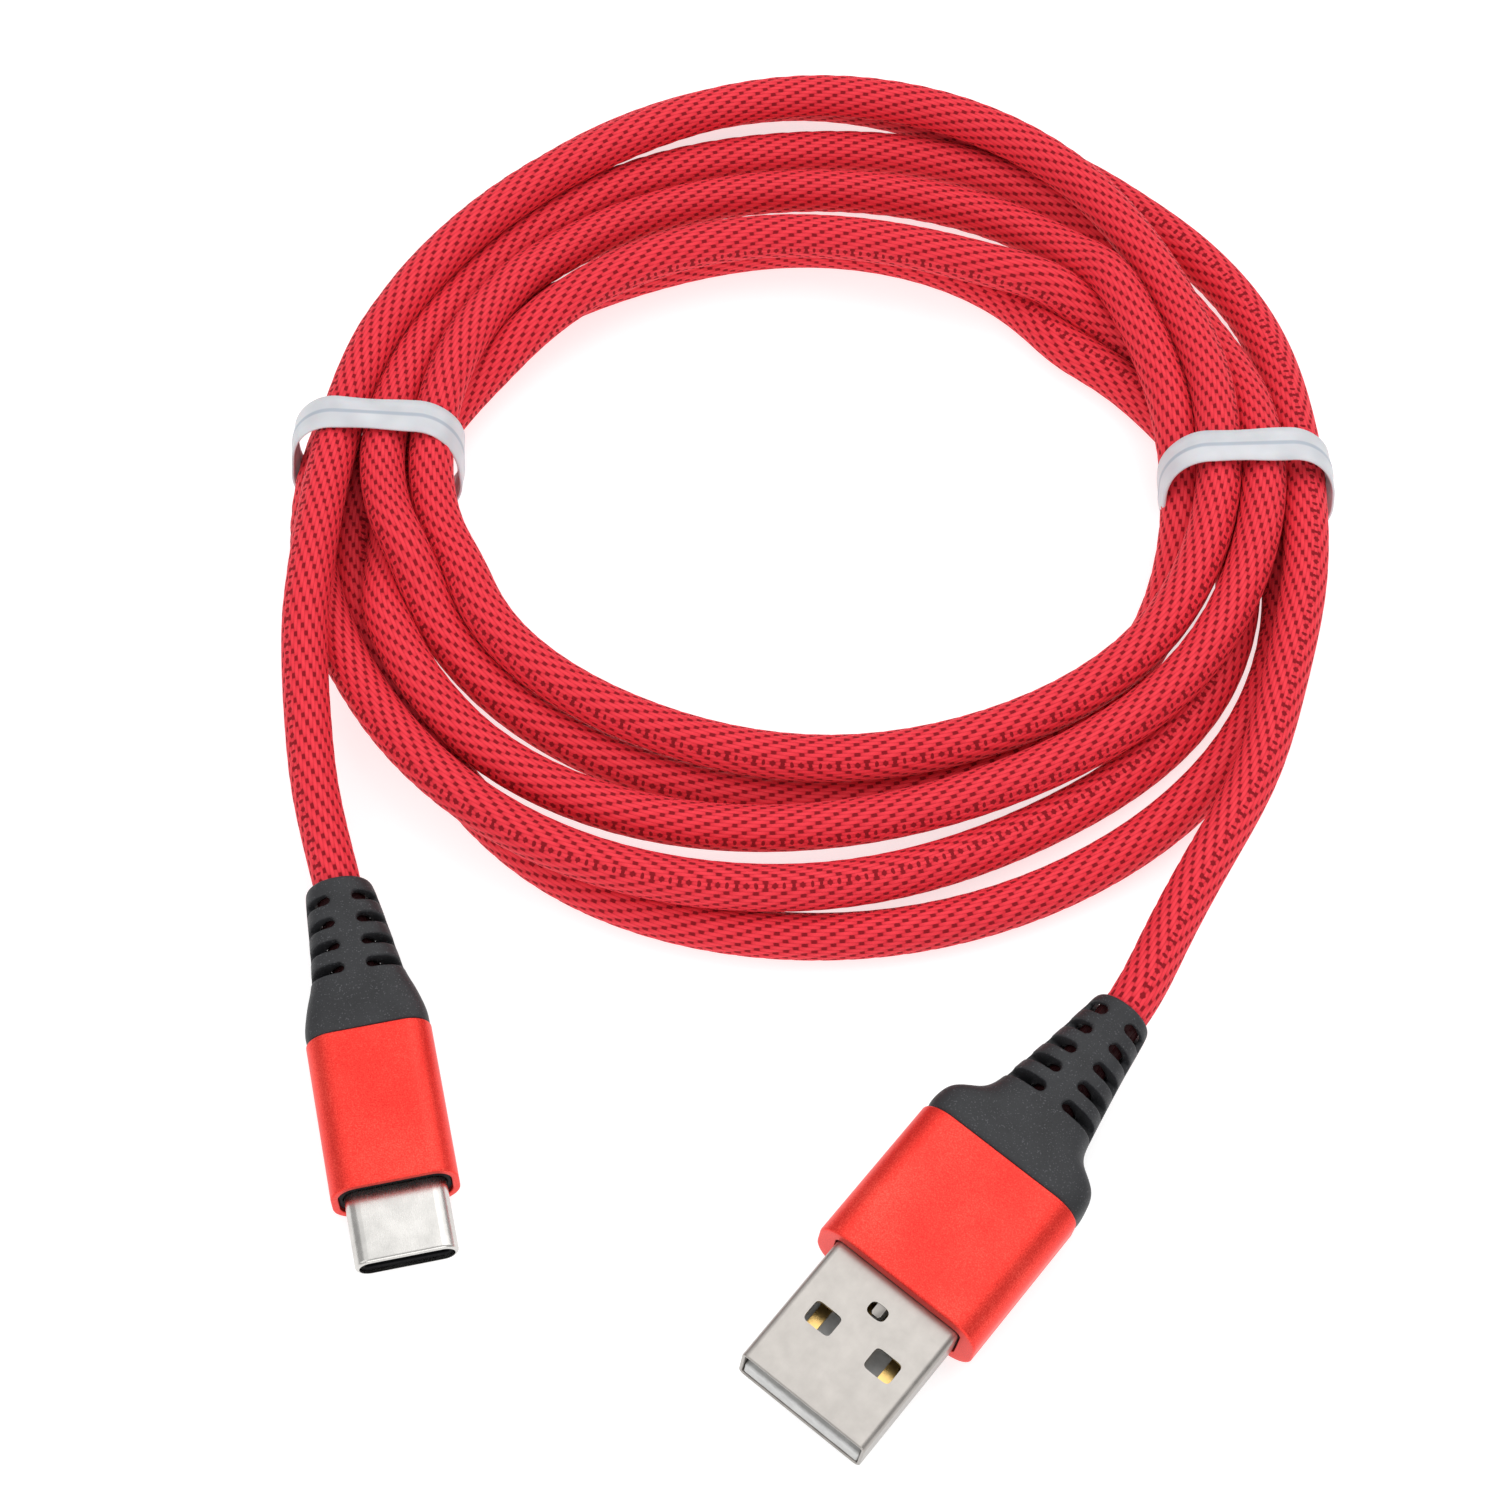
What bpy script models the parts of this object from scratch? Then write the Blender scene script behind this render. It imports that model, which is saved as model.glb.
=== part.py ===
"""A braided USB-A to USB-C charging cable, wound into a round flat coil and held by two twist ties.

The origin is on the ground under the middle of the object, +Z is up, and the two plugs lie towards -Y.
Each plug is modelled in its own frame: X across it, +Y from its mouth to its cord, Z through its thickness.
"""

import math

import bmesh
import bpy
from mathutils import Vector

MM = 0.001

# The cord
CORD_DIAMETER = 4.05 * MM
CORD_GAP = 0.3 * MM  # between a lead's end face and what it meets
LEAD_POINT_SPACING = 2.2 * CORD_DIAMETER

# The coil: an oval ring whose section is narrow and lifted where the ties hold it
COIL_CENTRE = (0.0, 22.0 * MM)
COIL_RADII = (39.2 * MM, 36.9 * MM)  # of the middle of the wound band
COIL_STATIONS = 72
COIL_HALF_WIDTH = (6.85 * MM, 10.2 * MM)  # where the ties hold it, and halfway between them
COIL_HELD_LEVELS = (0.95 * MM, 9.0 * MM)
COIL_LOOSE_LEVELS = (0.0, 8.0 * MM)
COIL_CORNER = 3.0 * MM
HELD_SPAN = (0.2, 0.5)  # sine of the angle from the ties where the levels start and end changing

# The leads' routes, from the coil to the plug's boot
USB_A_LEAD_ROUTE = [
    (37.6 * MM, -9.3 * MM, 6.1 * MM),
    (35.5 * MM, -13.2 * MM, 6.2 * MM),
    (33.3 * MM, -17.3 * MM, 6.2 * MM),
    (31.0 * MM, -21.5 * MM, 6.2 * MM),
    (28.8 * MM, -25.6 * MM, 6.1 * MM),
    (26.6 * MM, -29.5 * MM, 6.1 * MM),
]
USB_C_LEAD_ROUTE = [
    (-44.5 * MM, 1.8 * MM, 5.9 * MM),
    (-43.9 * MM, -4.0 * MM, 5.4 * MM),
    (-42.9 * MM, -9.5 * MM, 4.9 * MM),
    (-41.6 * MM, -14.5 * MM, 4.4 * MM),
]

# The twist ties
TIE_WIDTH = 3.4 * MM
TIE_THICKNESS = 0.5 * MM
TIE_HALF_SPAN = 7.85 * MM  # from the loop's middle to its outer face
TIE_BOTTOM = 0.1 * MM
TIE_TOP = 9.85 * MM
TIE_CORNER = 4.2 * MM
TIE_LEAN = 0.3  # how far the loop leans back for each unit of height
TIE_STATIONS = 44
TIE_WIRE_DIAMETER = 0.36 * MM
TIE_WIRE_DEPTH = 0.45 * MM  # from the ribbon's outer face to the middle of the wire
TIE_CHANNEL = 0.3 * MM  # half the width of the slot that the wire lies in, and the slot's depth
# where each tie's loop stands round the coil, and how its plane is turned, both in degrees
TIES = {"left_tie": (176.2, -4.0), "right_tie": (-1.2, 2.0)}

# Where the plugs lie: the middle of the mouth, the turn about Z and the roll about the plug's length
USB_A_PLACE = {"mouth": (-1.55 * MM, -65.35 * MM, 4.2 * MM), "turn": -38.5, "roll": 6.0}
USB_C_PLACE = {"mouth": (-32.65 * MM, -52.55 * MM, 3.05 * MM), "turn": 12.0, "roll": 0.0}

# USB-A plug, as (width, height) across the plug and (start, end) along it
USB_A_SHELL = {"size": (12.0 * MM, 4.5 * MM), "corner": 0.5 * MM, "span": (0.0, 18.4 * MM)}
USB_A_SHELL_WALL = 0.3 * MM
USB_A_WINDOW = {"size": (2.5 * MM, 2.0 * MM), "across": 2.95 * MM, "along": 6.2 * MM}
USB_A_TONGUE = {"size": (11.0 * MM, 1.8 * MM), "middle": -1.0 * MM, "span": (0.35 * MM, 16.1 * MM)}
USB_A_CONTACT = {"size": (1.0 * MM, 0.2 * MM), "middle": 0.05 * MM, "end": 16.6 * MM}
USB_A_CONTACTS = {
    "usb_a_contact_power": (-3.5 * MM, 1.2 * MM),
    "usb_a_contact_data_minus": (-1.0 * MM, 2.2 * MM),
    "usb_a_contact_data_plus": (1.0 * MM, 2.2 * MM),
    "usb_a_contact_ground": (3.5 * MM, 1.2 * MM),
}
USB_A_HOUSING = {"size": (15.4 * MM, 7.2 * MM), "corner": 2.6 * MM, "span": (12.0 * MM, 25.6 * MM)}
USB_A_HOUSING_WALL = 0.6 * MM
USB_A_HOUSING_FRONT = 0.8 * MM
USB_A_MOLD = {"size": (13.8 * MM, 5.6 * MM), "corner": 1.8 * MM, "span": (13.1 * MM, 22.3 * MM)}
USB_A_MOLD_ROOM = {"size": (12.4 * MM, 4.9 * MM), "end": 20.3 * MM}
USB_A_MOLD_BORE = 5.1 * MM
USB_A_CRIMP = {"span": (20.6 * MM, 22.2 * MM), "outer": 4.85 * MM, "inner": 4.3 * MM}
USB_A_CORD_END = (20.2 * MM, 42.0 * MM)
USB_A_BOOT_BEND = {"start": 27.0 * MM, "end": 42.4 * MM, "side": 0.0, "lift": 1.8 * MM}
USB_A_BOOT_PROFILE = [
    (22.7 * MM, 13.6 * MM, 5.4 * MM),
    (25.9 * MM, 13.6 * MM, 5.4 * MM),
    (25.9 * MM, 15.0 * MM, 6.9 * MM),
    (27.6 * MM, 14.9 * MM, 6.8 * MM),
    (28.5 * MM, 14.1 * MM, 6.7 * MM),
    (29.2 * MM, 12.5 * MM, 6.6 * MM),
    (30.0 * MM, 10.6 * MM, 6.5 * MM),
    (31.0 * MM, 9.2 * MM, 6.4 * MM),
    (32.5 * MM, 8.4 * MM, 6.3 * MM),
    (35.5 * MM, 7.3 * MM, 6.0 * MM),
    (39.0 * MM, 6.1 * MM, 5.5 * MM),
    (41.9 * MM, 5.3 * MM, 5.2 * MM),
    (42.4 * MM, 4.9 * MM, 4.9 * MM),
]
USB_A_BOOT_SLOTS = {"first": 32.5 * MM, "pitch": 2.1 * MM, "count": 5, "width": 1.0 * MM}

# USB-C plug
USB_C_SHELL = {"size": (8.34 * MM, 2.56 * MM), "corner": 1.27 * MM, "span": (0.0, 9.4 * MM)}
USB_C_SHELL_WALL = 0.17 * MM
USB_C_INSULATOR = {"size": (7.8 * MM, 2.02 * MM), "corner": 1.0 * MM, "span": (0.35 * MM, 7.4 * MM)}
USB_C_SLOT = (6.8 * MM, 0.98 * MM)
USB_C_CONTACT = {"size": (0.25 * MM, 0.12 * MM), "from_middle": 0.41 * MM, "span": (1.0 * MM, 8.4 * MM)}
USB_C_TOP_CONTACTS = {
    "usb_c_contact_a1_ground": 2.75 * MM,
    "usb_c_contact_a4_power": 1.25 * MM,
    "usb_c_contact_a5_configuration": 0.75 * MM,
    "usb_c_contact_a6_data_plus": 0.25 * MM,
    "usb_c_contact_a7_data_minus": -0.25 * MM,
    "usb_c_contact_a9_power": -1.25 * MM,
    "usb_c_contact_a12_ground": -2.75 * MM,
}
USB_C_BOTTOM_CONTACTS = {
    "usb_c_contact_b1_ground": -2.75 * MM,
    "usb_c_contact_b4_power": -1.25 * MM,
    "usb_c_contact_b9_power": 1.25 * MM,
    "usb_c_contact_b12_ground": 2.75 * MM,
}
USB_C_LATCH = {"across": (3.12 * MM, 3.32 * MM), "along": (1.6 * MM, 5.4 * MM, 7.0 * MM), "thick": 0.16 * MM}
USB_C_BOARD = {"size": (6.4 * MM, 0.6 * MM), "span": (7.7 * MM, 13.4 * MM)}
USB_C_RESISTOR = {"size": (0.5 * MM, 0.35 * MM), "span": (10.0 * MM, 11.0 * MM), "across": 1.4 * MM}
USB_C_WIRE_STARTS = (-2.4 * MM, -0.8 * MM, 0.8 * MM, 2.4 * MM)
USB_C_COLLAR = {"size": (8.9 * MM, 4.5 * MM), "corner": 1.6 * MM, "span": (6.1 * MM, 8.4 * MM)}
USB_C_HOUSING = {"size": (10.4 * MM, 6.0 * MM), "corner": 2.2 * MM, "span": (5.9 * MM, 19.8 * MM)}
USB_C_HOUSING_WALL = 0.55 * MM
USB_C_MOLD = {"size": (8.8 * MM, 4.4 * MM), "corner": 1.5 * MM, "span": (9.6 * MM, 16.6 * MM)}
USB_C_MOLD_CHAMBER = {"size": (7.2 * MM, 2.9 * MM), "end": 15.6 * MM}
USB_C_MOLD_BORE = 4.25 * MM
USB_C_CRIMP = {"span": (16.9 * MM, 18.0 * MM), "outer": 4.75 * MM, "inner": 4.3 * MM}
USB_C_CORD_END = (15.9 * MM, 33.4 * MM)
USB_C_BOOT_BEND = {"start": 21.0 * MM, "end": 33.8 * MM, "side": -0.4 * MM, "lift": 0.9 * MM}
USB_C_BOOT_PROFILE = [
    (18.3 * MM, 8.6 * MM, 4.3 * MM),
    (20.1 * MM, 8.6 * MM, 4.3 * MM),
    (20.1 * MM, 10.1 * MM, 5.8 * MM),
    (21.4 * MM, 9.9 * MM, 5.8 * MM),
    (22.8 * MM, 9.1 * MM, 5.8 * MM),
    (24.2 * MM, 8.2 * MM, 5.8 * MM),
    (25.8 * MM, 7.5 * MM, 5.8 * MM),
    (29.0 * MM, 6.7 * MM, 5.7 * MM),
    (32.0 * MM, 5.9 * MM, 5.5 * MM),
    (33.4 * MM, 5.5 * MM, 5.4 * MM),
    (33.8 * MM, 5.0 * MM, 5.0 * MM),
]
USB_C_BOOT_SLOTS = {"first": 25.6 * MM, "pitch": 2.1 * MM, "count": 4, "width": 0.9 * MM}

# Both boots
BOOT_BORE = 4.65 * MM
BOOT_SPINE = 1.8 * MM  # the solid web between the two columns of slots
BOOT_RAIL = 0.45 * MM  # half the height of the solid rail down each side
BOOT_SEGMENTS = 24

OVERCUT = 1.0 * MM  # how far a cutter runs past the faces that it opens

# Wires inside the plugs
WIRE_DIAMETER = 0.75 * MM
WIRE_GAP = 0.15 * MM  # clear air at each end of a wire
WIRE_ENDS = [
    (-0.98 * MM, 0.68 * MM),
    (-0.34 * MM, -0.68 * MM),
    (0.34 * MM, 0.68 * MM),
    (0.98 * MM, -0.68 * MM),
]
WIRE_STEPS = 5
WIRE_COLOURS = {
    "red": (0.6, 0.02, 0.02),
    "white": (0.8, 0.8, 0.78),
    "green": (0.02, 0.35, 0.06),
    "black": (0.02, 0.02, 0.02),
}

# Finishes: colour, metallic, roughness
FINISHES = {
    "braid": ((0.56, 0.03, 0.05), 0.0, 0.75),
    "tie": ((0.75, 0.76, 0.78), 0.0, 0.45),
    "anodised": ((0.72, 0.05, 0.03), 0.9, 0.35),
    "rubber": ((0.045, 0.047, 0.05), 0.0, 0.6),
    "nickel": ((0.58, 0.55, 0.51), 1.0, 0.25),
    "steel": ((0.45, 0.45, 0.46), 1.0, 0.35),
    "gold": ((0.75, 0.5, 0.18), 1.0, 0.3),
    "white_plastic": ((0.6, 0.6, 0.58), 0.0, 0.4),
    "black_plastic": ((0.02, 0.02, 0.022), 0.0, 0.4),
    "board": ((0.02, 0.16, 0.06), 0.0, 0.45),
}


def clear_scene():
    for old in list(bpy.data.objects):
        bpy.data.objects.remove(old, do_unlink=True)


def finish(name):
    """The named finish, made the first time that it is asked for."""
    if name in bpy.data.materials:
        return bpy.data.materials[name]
    colour, metallic, roughness = FINISHES[name]
    made = bpy.data.materials.new(name)
    made.use_nodes = True
    shader = made.node_tree.nodes["Principled BSDF"]
    shader.inputs["Base Color"].default_value = (*colour, 1.0)
    shader.inputs["Metallic"].default_value = metallic
    shader.inputs["Roughness"].default_value = roughness
    return made


def mesh_object(name, points, faces, material, parent=None):
    """A closed mesh with its faces turned outwards, smooth apart from its sharp edges."""
    mesh = bpy.data.meshes.new(name)
    mesh.from_pydata([tuple(p) for p in points], [], faces)
    shaped = bmesh.new()
    shaped.from_mesh(mesh)
    bmesh.ops.recalc_face_normals(shaped, faces=shaped.faces)
    shaped.to_mesh(mesh)
    shaped.free()
    mesh.shade_smooth()
    mesh.set_sharp_from_angle(angle=math.radians(35))
    made = bpy.data.objects.new(name, mesh)
    made.data.materials.append(finish(material))
    bpy.context.scene.collection.objects.link(made)
    made.parent = parent
    return made


def side_faces(rings, first=0, closed=False):
    """Quads between neighbouring rings of the same length, numbered from first."""
    count = len(rings[0])
    faces = []
    for i in range(len(rings) if closed else len(rings) - 1):
        here = first + i * count
        there = first + (i + 1) % len(rings) * count
        for j in range(count):
            k = (j + 1) % count
            faces.append((here + j, here + k, there + k, there + j))
    return faces


def solid_loft(name, rings, material, parent=None):
    """A solid through the rings, with a flat cap at each end."""
    count = len(rings[0])
    faces = side_faces(rings)
    faces.append(tuple(range(count)))
    faces.append(tuple(range((len(rings) - 1) * count, len(rings) * count)))
    return mesh_object(name, sum(rings, []), faces, material, parent)


def ring_loft(name, rings, material, parent=None):
    """A solid through the rings, whose last ring joins its first."""
    return mesh_object(name, sum(rings, []), side_faces(rings, closed=True), material, parent)


def hollow_loft(name, outer, inner, material, parent=None):
    """A sleeve between an outer and an inner run of rings, open at both ends."""
    count = len(outer[0])
    inner_start = len(outer) * count
    faces = side_faces(outer) + side_faces(inner, inner_start)
    for outer_end, inner_end in ((0, 0), (len(outer) - 1, len(inner) - 1)):
        for j in range(count):
            k = (j + 1) % count
            a, b = outer_end * count + j, outer_end * count + k
            c, d = inner_start + inner_end * count + k, inner_start + inner_end * count + j
            faces.append((a, b, c, d))
    return mesh_object(name, sum(outer + inner, []), faces, material, parent)


def rounded_section(size, corner, along, steps=4, middle=(0.0, 0.0)):
    """A rounded rectangle across the plug at a place along it."""
    half_width, half_height = size[0] / 2, size[1] / 2
    corner = min(corner, half_width, half_height)
    points = []
    for quarter in range(4):
        side = 1 if quarter in (0, 3) else -1
        level = 1 if quarter in (0, 1) else -1
        for step in range(steps + 1):
            angle = math.radians(90 * (quarter + step / steps))
            x = side * (half_width - corner) + corner * math.cos(angle)
            z = level * (half_height - corner) + corner * math.sin(angle)
            points.append(Vector((middle[0] + x, along, middle[1] + z)))
    return points


def oval_section(size, along, middle=(0.0, 0.0), segments=BOOT_SEGMENTS, power=2.0):
    """A superellipse across the plug: power 2 is an ellipse, and more is squarer."""
    points = []
    for i in range(segments):
        angle = 2 * math.pi * i / segments
        x = math.copysign(abs(math.cos(angle)) ** (2 / power), math.cos(angle))
        z = math.copysign(abs(math.sin(angle)) ** (2 / power), math.sin(angle))
        points.append(Vector((middle[0] + x * size[0] / 2, along, middle[1] + z * size[1] / 2)))
    return points


def sleeve(name, outer, outer_corner, inner, inner_corner, span, material, parent):
    """A straight tube of rounded rectangles."""
    return hollow_loft(
        name,
        [rounded_section(outer, outer_corner, along) for along in span],
        [rounded_section(inner, inner_corner, along) for along in span],
        material,
        parent,
    )


def block(name, size, span, middle, material, parent, corner=0.0):
    """A bar along the plug, with square or rounded edges."""
    if corner:
        rings = [rounded_section(size, corner, along, middle=middle) for along in span]
    else:
        rings = []
        for along in span:
            corners = ((1, 1), (-1, 1), (-1, -1), (1, -1))
            rings.append([
                Vector((middle[0] + sx * size[0] / 2, along, middle[1] + sz * size[1] / 2))
                for sx, sz in corners
            ])
    return solid_loft(name, rings, material, parent)


def cut(target, cutter):
    """Cuts one object out of another, and keeps the cutter as a hidden wire."""
    cutter.hide_render = True
    cutter.display_type = "WIRE"
    boolean = target.modifiers.new(cutter.name, "BOOLEAN")
    boolean.operation = "DIFFERENCE"
    boolean.solver = "EXACT"
    boolean.object = cutter


def place_plug(name, place):
    """The empty at the middle of a plug's mouth that every piece of the plug hangs on."""
    empty = bpy.data.objects.new(name, None)
    empty.location = place["mouth"]
    empty.rotation_euler = (0.0, math.radians(place["roll"]), math.radians(place["turn"]))
    bpy.context.scene.collection.objects.link(empty)
    bpy.context.view_layer.update()
    return empty


def smooth_route(route, spacing):
    """Points about the spacing apart on a Catmull-Rom curve through the route."""
    knots = [Vector(p) for p in route]
    knots = [2 * knots[0] - knots[1], *knots, 2 * knots[-1] - knots[-2]]
    points = []
    for before, start, end, after in zip(knots, knots[1:], knots[2:], knots[3:]):
        steps = max(1, round((end - start).length / spacing))
        for step in range(steps):
            t = step / steps
            points.append(0.5 * (
                2 * start
                + (end - before) * t
                + (2 * before - 5 * start + 4 * end - after) * t**2
                + (3 * start - before - 3 * end + after) * t**3
            ))
    points.append(knots[-2])
    return points


def tube(name, points, diameter, resolution, material, parent=None):
    """A round tube along a run of points, with filled ends."""
    curve = bpy.data.curves.new(name, "CURVE")
    curve.dimensions = "3D"
    curve.bevel_depth = diameter / 2
    curve.bevel_resolution = resolution
    curve.use_fill_caps = True
    spline = curve.splines.new("POLY")
    spline.points.add(len(points) - 1)
    for knot, point in zip(spline.points, points):
        knot.co = (*point, 1.0)
    made = bpy.data.objects.new(name, curve)
    made.data.materials.append(finish(material))
    bpy.context.scene.collection.objects.link(made)
    made.parent = parent
    return made


def held_share(angle):
    """1 where a tie holds the coil, 0 well away from both ties."""
    start, end = HELD_SPAN
    away = min(1.0, max(0.0, (abs(math.sin(angle)) - start) / (end - start)))
    return 1 - away * away * (3 - 2 * away)


def make_coil():
    """The wound turns as one ring of rounded section."""
    rings = []
    for station in range(COIL_STATIONS):
        angle = 2 * math.pi * station / COIL_STATIONS
        held = held_share(angle)
        bottom, top = (
            loose + (tight - loose) * held for tight, loose in zip(COIL_HELD_LEVELS, COIL_LOOSE_LEVELS)
        )
        held_width, loose_width = COIL_HALF_WIDTH
        half_width = held_width + (loose_width - held_width) * math.sin(angle) ** 2
        middle = Vector((
            COIL_CENTRE[0] + COIL_RADII[0] * math.cos(angle),
            COIL_CENTRE[1] + COIL_RADII[1] * math.sin(angle),
            (bottom + top) / 2,
        ))
        outward = Vector((math.cos(angle) / COIL_RADII[0], math.sin(angle) / COIL_RADII[1], 0.0)).normalized()
        section = rounded_section((2 * half_width, top - bottom), COIL_CORNER, 0.0, steps=2)
        rings.append([middle + outward * p.x + Vector((0.0, 0.0, p.z)) for p in section])
    ring_loft("coiled_cord", rings, "braid")


def tie_outline(inset):
    """(x, z, outward x, outward z) round a tie's loop, this far inside its outer face."""
    half_width = TIE_HALF_SPAN - inset
    bottom, top = TIE_BOTTOM + inset, TIE_TOP - inset
    half_height, middle = (top - bottom) / 2, (top + bottom) / 2
    corner = TIE_CORNER - inset
    outline = []
    for station in range(TIE_STATIONS):
        quarter, share = divmod(4 * station / TIE_STATIONS, 1)
        angle = math.radians(90 * (quarter + share))
        side = 1 if quarter in (0, 3) else -1
        level = 1 if quarter in (0, 1) else -1
        x = side * (half_width - corner) + corner * math.cos(angle)
        z = middle + level * (half_height - corner) + corner * math.sin(angle)
        outline.append((x, z, math.cos(angle), math.sin(angle)))
    return outline


def make_tie(name, place, turn):
    """A flat ribbon round the coil, with a slot in its inner face for the wire core.

    Its empty stands on the coil's axis, because the tie slides round the coil.
    """
    empty = bpy.data.objects.new(name + "_slide", None)
    empty.location = (*COIL_CENTRE, 0.0)
    bpy.context.scene.collection.objects.link(empty)
    angle = math.radians(place)
    middle = Vector((COIL_RADII[0] * math.cos(angle), COIL_RADII[0] * math.sin(angle), 0.0))
    across = Vector((math.cos(math.radians(turn)), math.sin(math.radians(turn)), 0.0))
    along = Vector((-across.y, across.x, 0.0))
    up = Vector((0.0, 0.0, 1.0))
    half = TIE_WIDTH / 2
    channel_floor = TIE_CHANNEL - TIE_THICKNESS
    ribbon = [(half, 0.0), (-half, 0.0), (-half, -TIE_THICKNESS), (-TIE_CHANNEL, -TIE_THICKNESS)]
    ribbon += [(-TIE_CHANNEL, channel_floor), (TIE_CHANNEL, channel_floor)]
    ribbon += [(TIE_CHANNEL, -TIE_THICKNESS), (half, -TIE_THICKNESS)]
    sixths = [math.pi * i / 3 for i in range(6)]
    wire = [(TIE_WIRE_DIAMETER / 2 * math.cos(a), TIE_WIRE_DIAMETER / 2 * math.sin(a)) for a in sixths]
    half_height = (TIE_BOTTOM + TIE_TOP) / 2
    for node, section, inset, material in (
        (name, ribbon, 0.0, "tie"),
        (name + "_wire", wire, TIE_WIRE_DEPTH, "steel"),
    ):
        rings = []
        for x, z, out_x, out_z in tie_outline(inset):
            lean = TIE_LEAN * (z - half_height)
            rings.append([
                middle + across * (x + depth * out_x) + along * (width + lean) + up * (z + depth * out_z)
                for width, depth in section
            ])
        ring_loft(node, rings, material, empty)


def bend_at(bend, along):
    """How far the flexible boot has bent sideways and upwards at a place along the plug."""
    share = min(1.2, max(0.0, (along - bend["start"]) / (bend["end"] - bend["start"])))
    return (bend["side"] * share**2, bend["lift"] * share**2)


def make_boot(name, profile, bend, slots, parent):
    """A flared rubber strain relief with two columns of slots, bored for the cord."""
    wide = profile[2][1]
    narrow = profile[-1][1]
    outer = []
    for along, width, height in profile:
        squareness = 2.0 + 2.4 * (width - narrow) / (wide - narrow)
        outer.append(oval_section((width, height), along, bend_at(bend, along), power=squareness))
    bore = (BOOT_BORE, BOOT_BORE)
    places = sorted({along for along, _, _ in profile})
    inner = [oval_section(bore, along, bend_at(bend, along)) for along in places]
    boot = hollow_loft(name, outer, inner, "rubber", parent)
    cut_boot_slots(boot, slots, bend, wide)


def cut_boot_slots(boot, slots, bend, width):
    """Cuts slots into the boot's upper and lower faces, from its spine out to the rails down its sides."""
    half = slots["width"] / 2
    near, far = BOOT_SPINE / 2, width / 2
    for number in range(slots["count"]):
        along = slots["first"] + number * slots["pitch"]
        middle, lift = bend_at(bend, along)
        corners = [(near, half / 2), (near + half / 2, half), (far, half)]
        outline = corners + [(x, -y) for x, y in reversed(corners)]
        for side, hand in ((-1, "left"), (1, "right")):
            for level, face in ((-1, "lower"), (1, "upper")):
                reach = (lift + level * BOOT_RAIL, lift + level * far)
                rings = [[Vector((middle + side * x, along + y, z)) for x, y in outline] for z in reach]
                name = f"{boot.name}_{face}_{hand}_slot_{number + 1}"
                cut(boot, solid_loft(name, rings, "rubber", boot.parent))


def cord_end_points(span, bend):
    """The middle of the cord inside a plug and its boot."""
    count = max(3, round((span[1] - span[0]) / (2 * MM)) + 1)
    points = []
    for i in range(count):
        along = span[0] + (span[1] - span[0]) * i / (count - 1)
        side, lift = bend_at(bend, along)
        points.append(Vector((side, along, lift)))
    return points


def make_crimp(name, crimp, parent):
    outer = [oval_section((crimp["outer"],) * 2, along) for along in crimp["span"]]
    inner = [oval_section((crimp["inner"],) * 2, along) for along in crimp["span"]]
    hollow_loft(name, outer, inner, "steel", parent)


def make_wires(prefix, starts, cord_face, parent):
    """Four insulated wires from the contacts to the cord's end face, each one easing sideways on the way."""
    for (colour, rgb), start, (x, z) in zip(WIRE_COLOURS.items(), starts, WIRE_ENDS):
        name = f"{prefix}_wire_{colour}"
        FINISHES[name] = (rgb, 0.0, 0.5)
        end = Vector((x, cord_face, z))
        points = []
        for i in range(WIRE_STEPS + 1):
            share = i / WIRE_STEPS
            ease = share * share * (3 - 2 * share)
            point = start.lerp(end, ease)
            point.y = start.y + (end.y - start.y) * share
            points.append(point)
        tube(name, points, WIRE_DIAMETER, 1, name, parent)


def make_usb_a_shell(plug):
    """The formed steel shell, with two windows through its top and two through its bottom."""
    width, height = USB_A_SHELL["size"]
    wall = USB_A_SHELL_WALL
    inner = (width - 2 * wall, height - 2 * wall)
    corner = USB_A_SHELL["corner"]
    span = USB_A_SHELL["span"]
    shell = sleeve("usb_a_shell", (width, height), corner, inner, corner - wall, span, "nickel", plug)
    window_width, window_length = USB_A_WINDOW["size"]
    for level, word in ((1, "top"), (-1, "bottom")):
        for side, hand in ((-1, "left"), (1, "right")):
            along = USB_A_WINDOW["along"]
            cutter = block(
                f"usb_a_window_{word}_{hand}",
                (window_width, 1.2 * MM),
                (along - window_length / 2, along + window_length / 2),
                (side * USB_A_WINDOW["across"], level * height / 2),
                "nickel",
                plug,
            )
            cut(shell, cutter)


def make_usb_a_inside(plug):
    """The tongue, its four contacts, the inner mould, the crimp and the wires."""
    middle = (0.0, USB_A_TONGUE["middle"])
    block("usb_a_tongue", USB_A_TONGUE["size"], USB_A_TONGUE["span"], middle, "white_plastic", plug)
    wire_starts = []
    for name, (across, start) in USB_A_CONTACTS.items():
        span = (start, USB_A_CONTACT["end"])
        middle = (across, USB_A_CONTACT["middle"])
        block(name, USB_A_CONTACT["size"], span, middle, "gold", plug)
        wire_starts.append(Vector((across, USB_A_CONTACT["end"] + WIRE_GAP, USB_A_CONTACT["middle"])))
    mold = block(
        "usb_a_inner_mold", USB_A_MOLD["size"], USB_A_MOLD["span"], (0.0, 0.0), "white_plastic", plug,
        USB_A_MOLD["corner"],
    )
    start, end = USB_A_MOLD["span"]
    room = USB_A_MOLD_ROOM
    span = (start - OVERCUT, room["end"])
    cut(mold, block("usb_a_mold_room", room["size"], span, (0.0, 0.0), "white_plastic", plug))
    span = (room["end"] - OVERCUT, end + OVERCUT)
    rings = [oval_section((USB_A_MOLD_BORE,) * 2, along) for along in span]
    cut(mold, solid_loft("usb_a_mold_bore", rings, "white_plastic", plug))
    make_crimp("usb_a_crimp", USB_A_CRIMP, plug)
    make_wires("usb_a", wire_starts, USB_A_CORD_END[0] - WIRE_GAP, plug)


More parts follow.
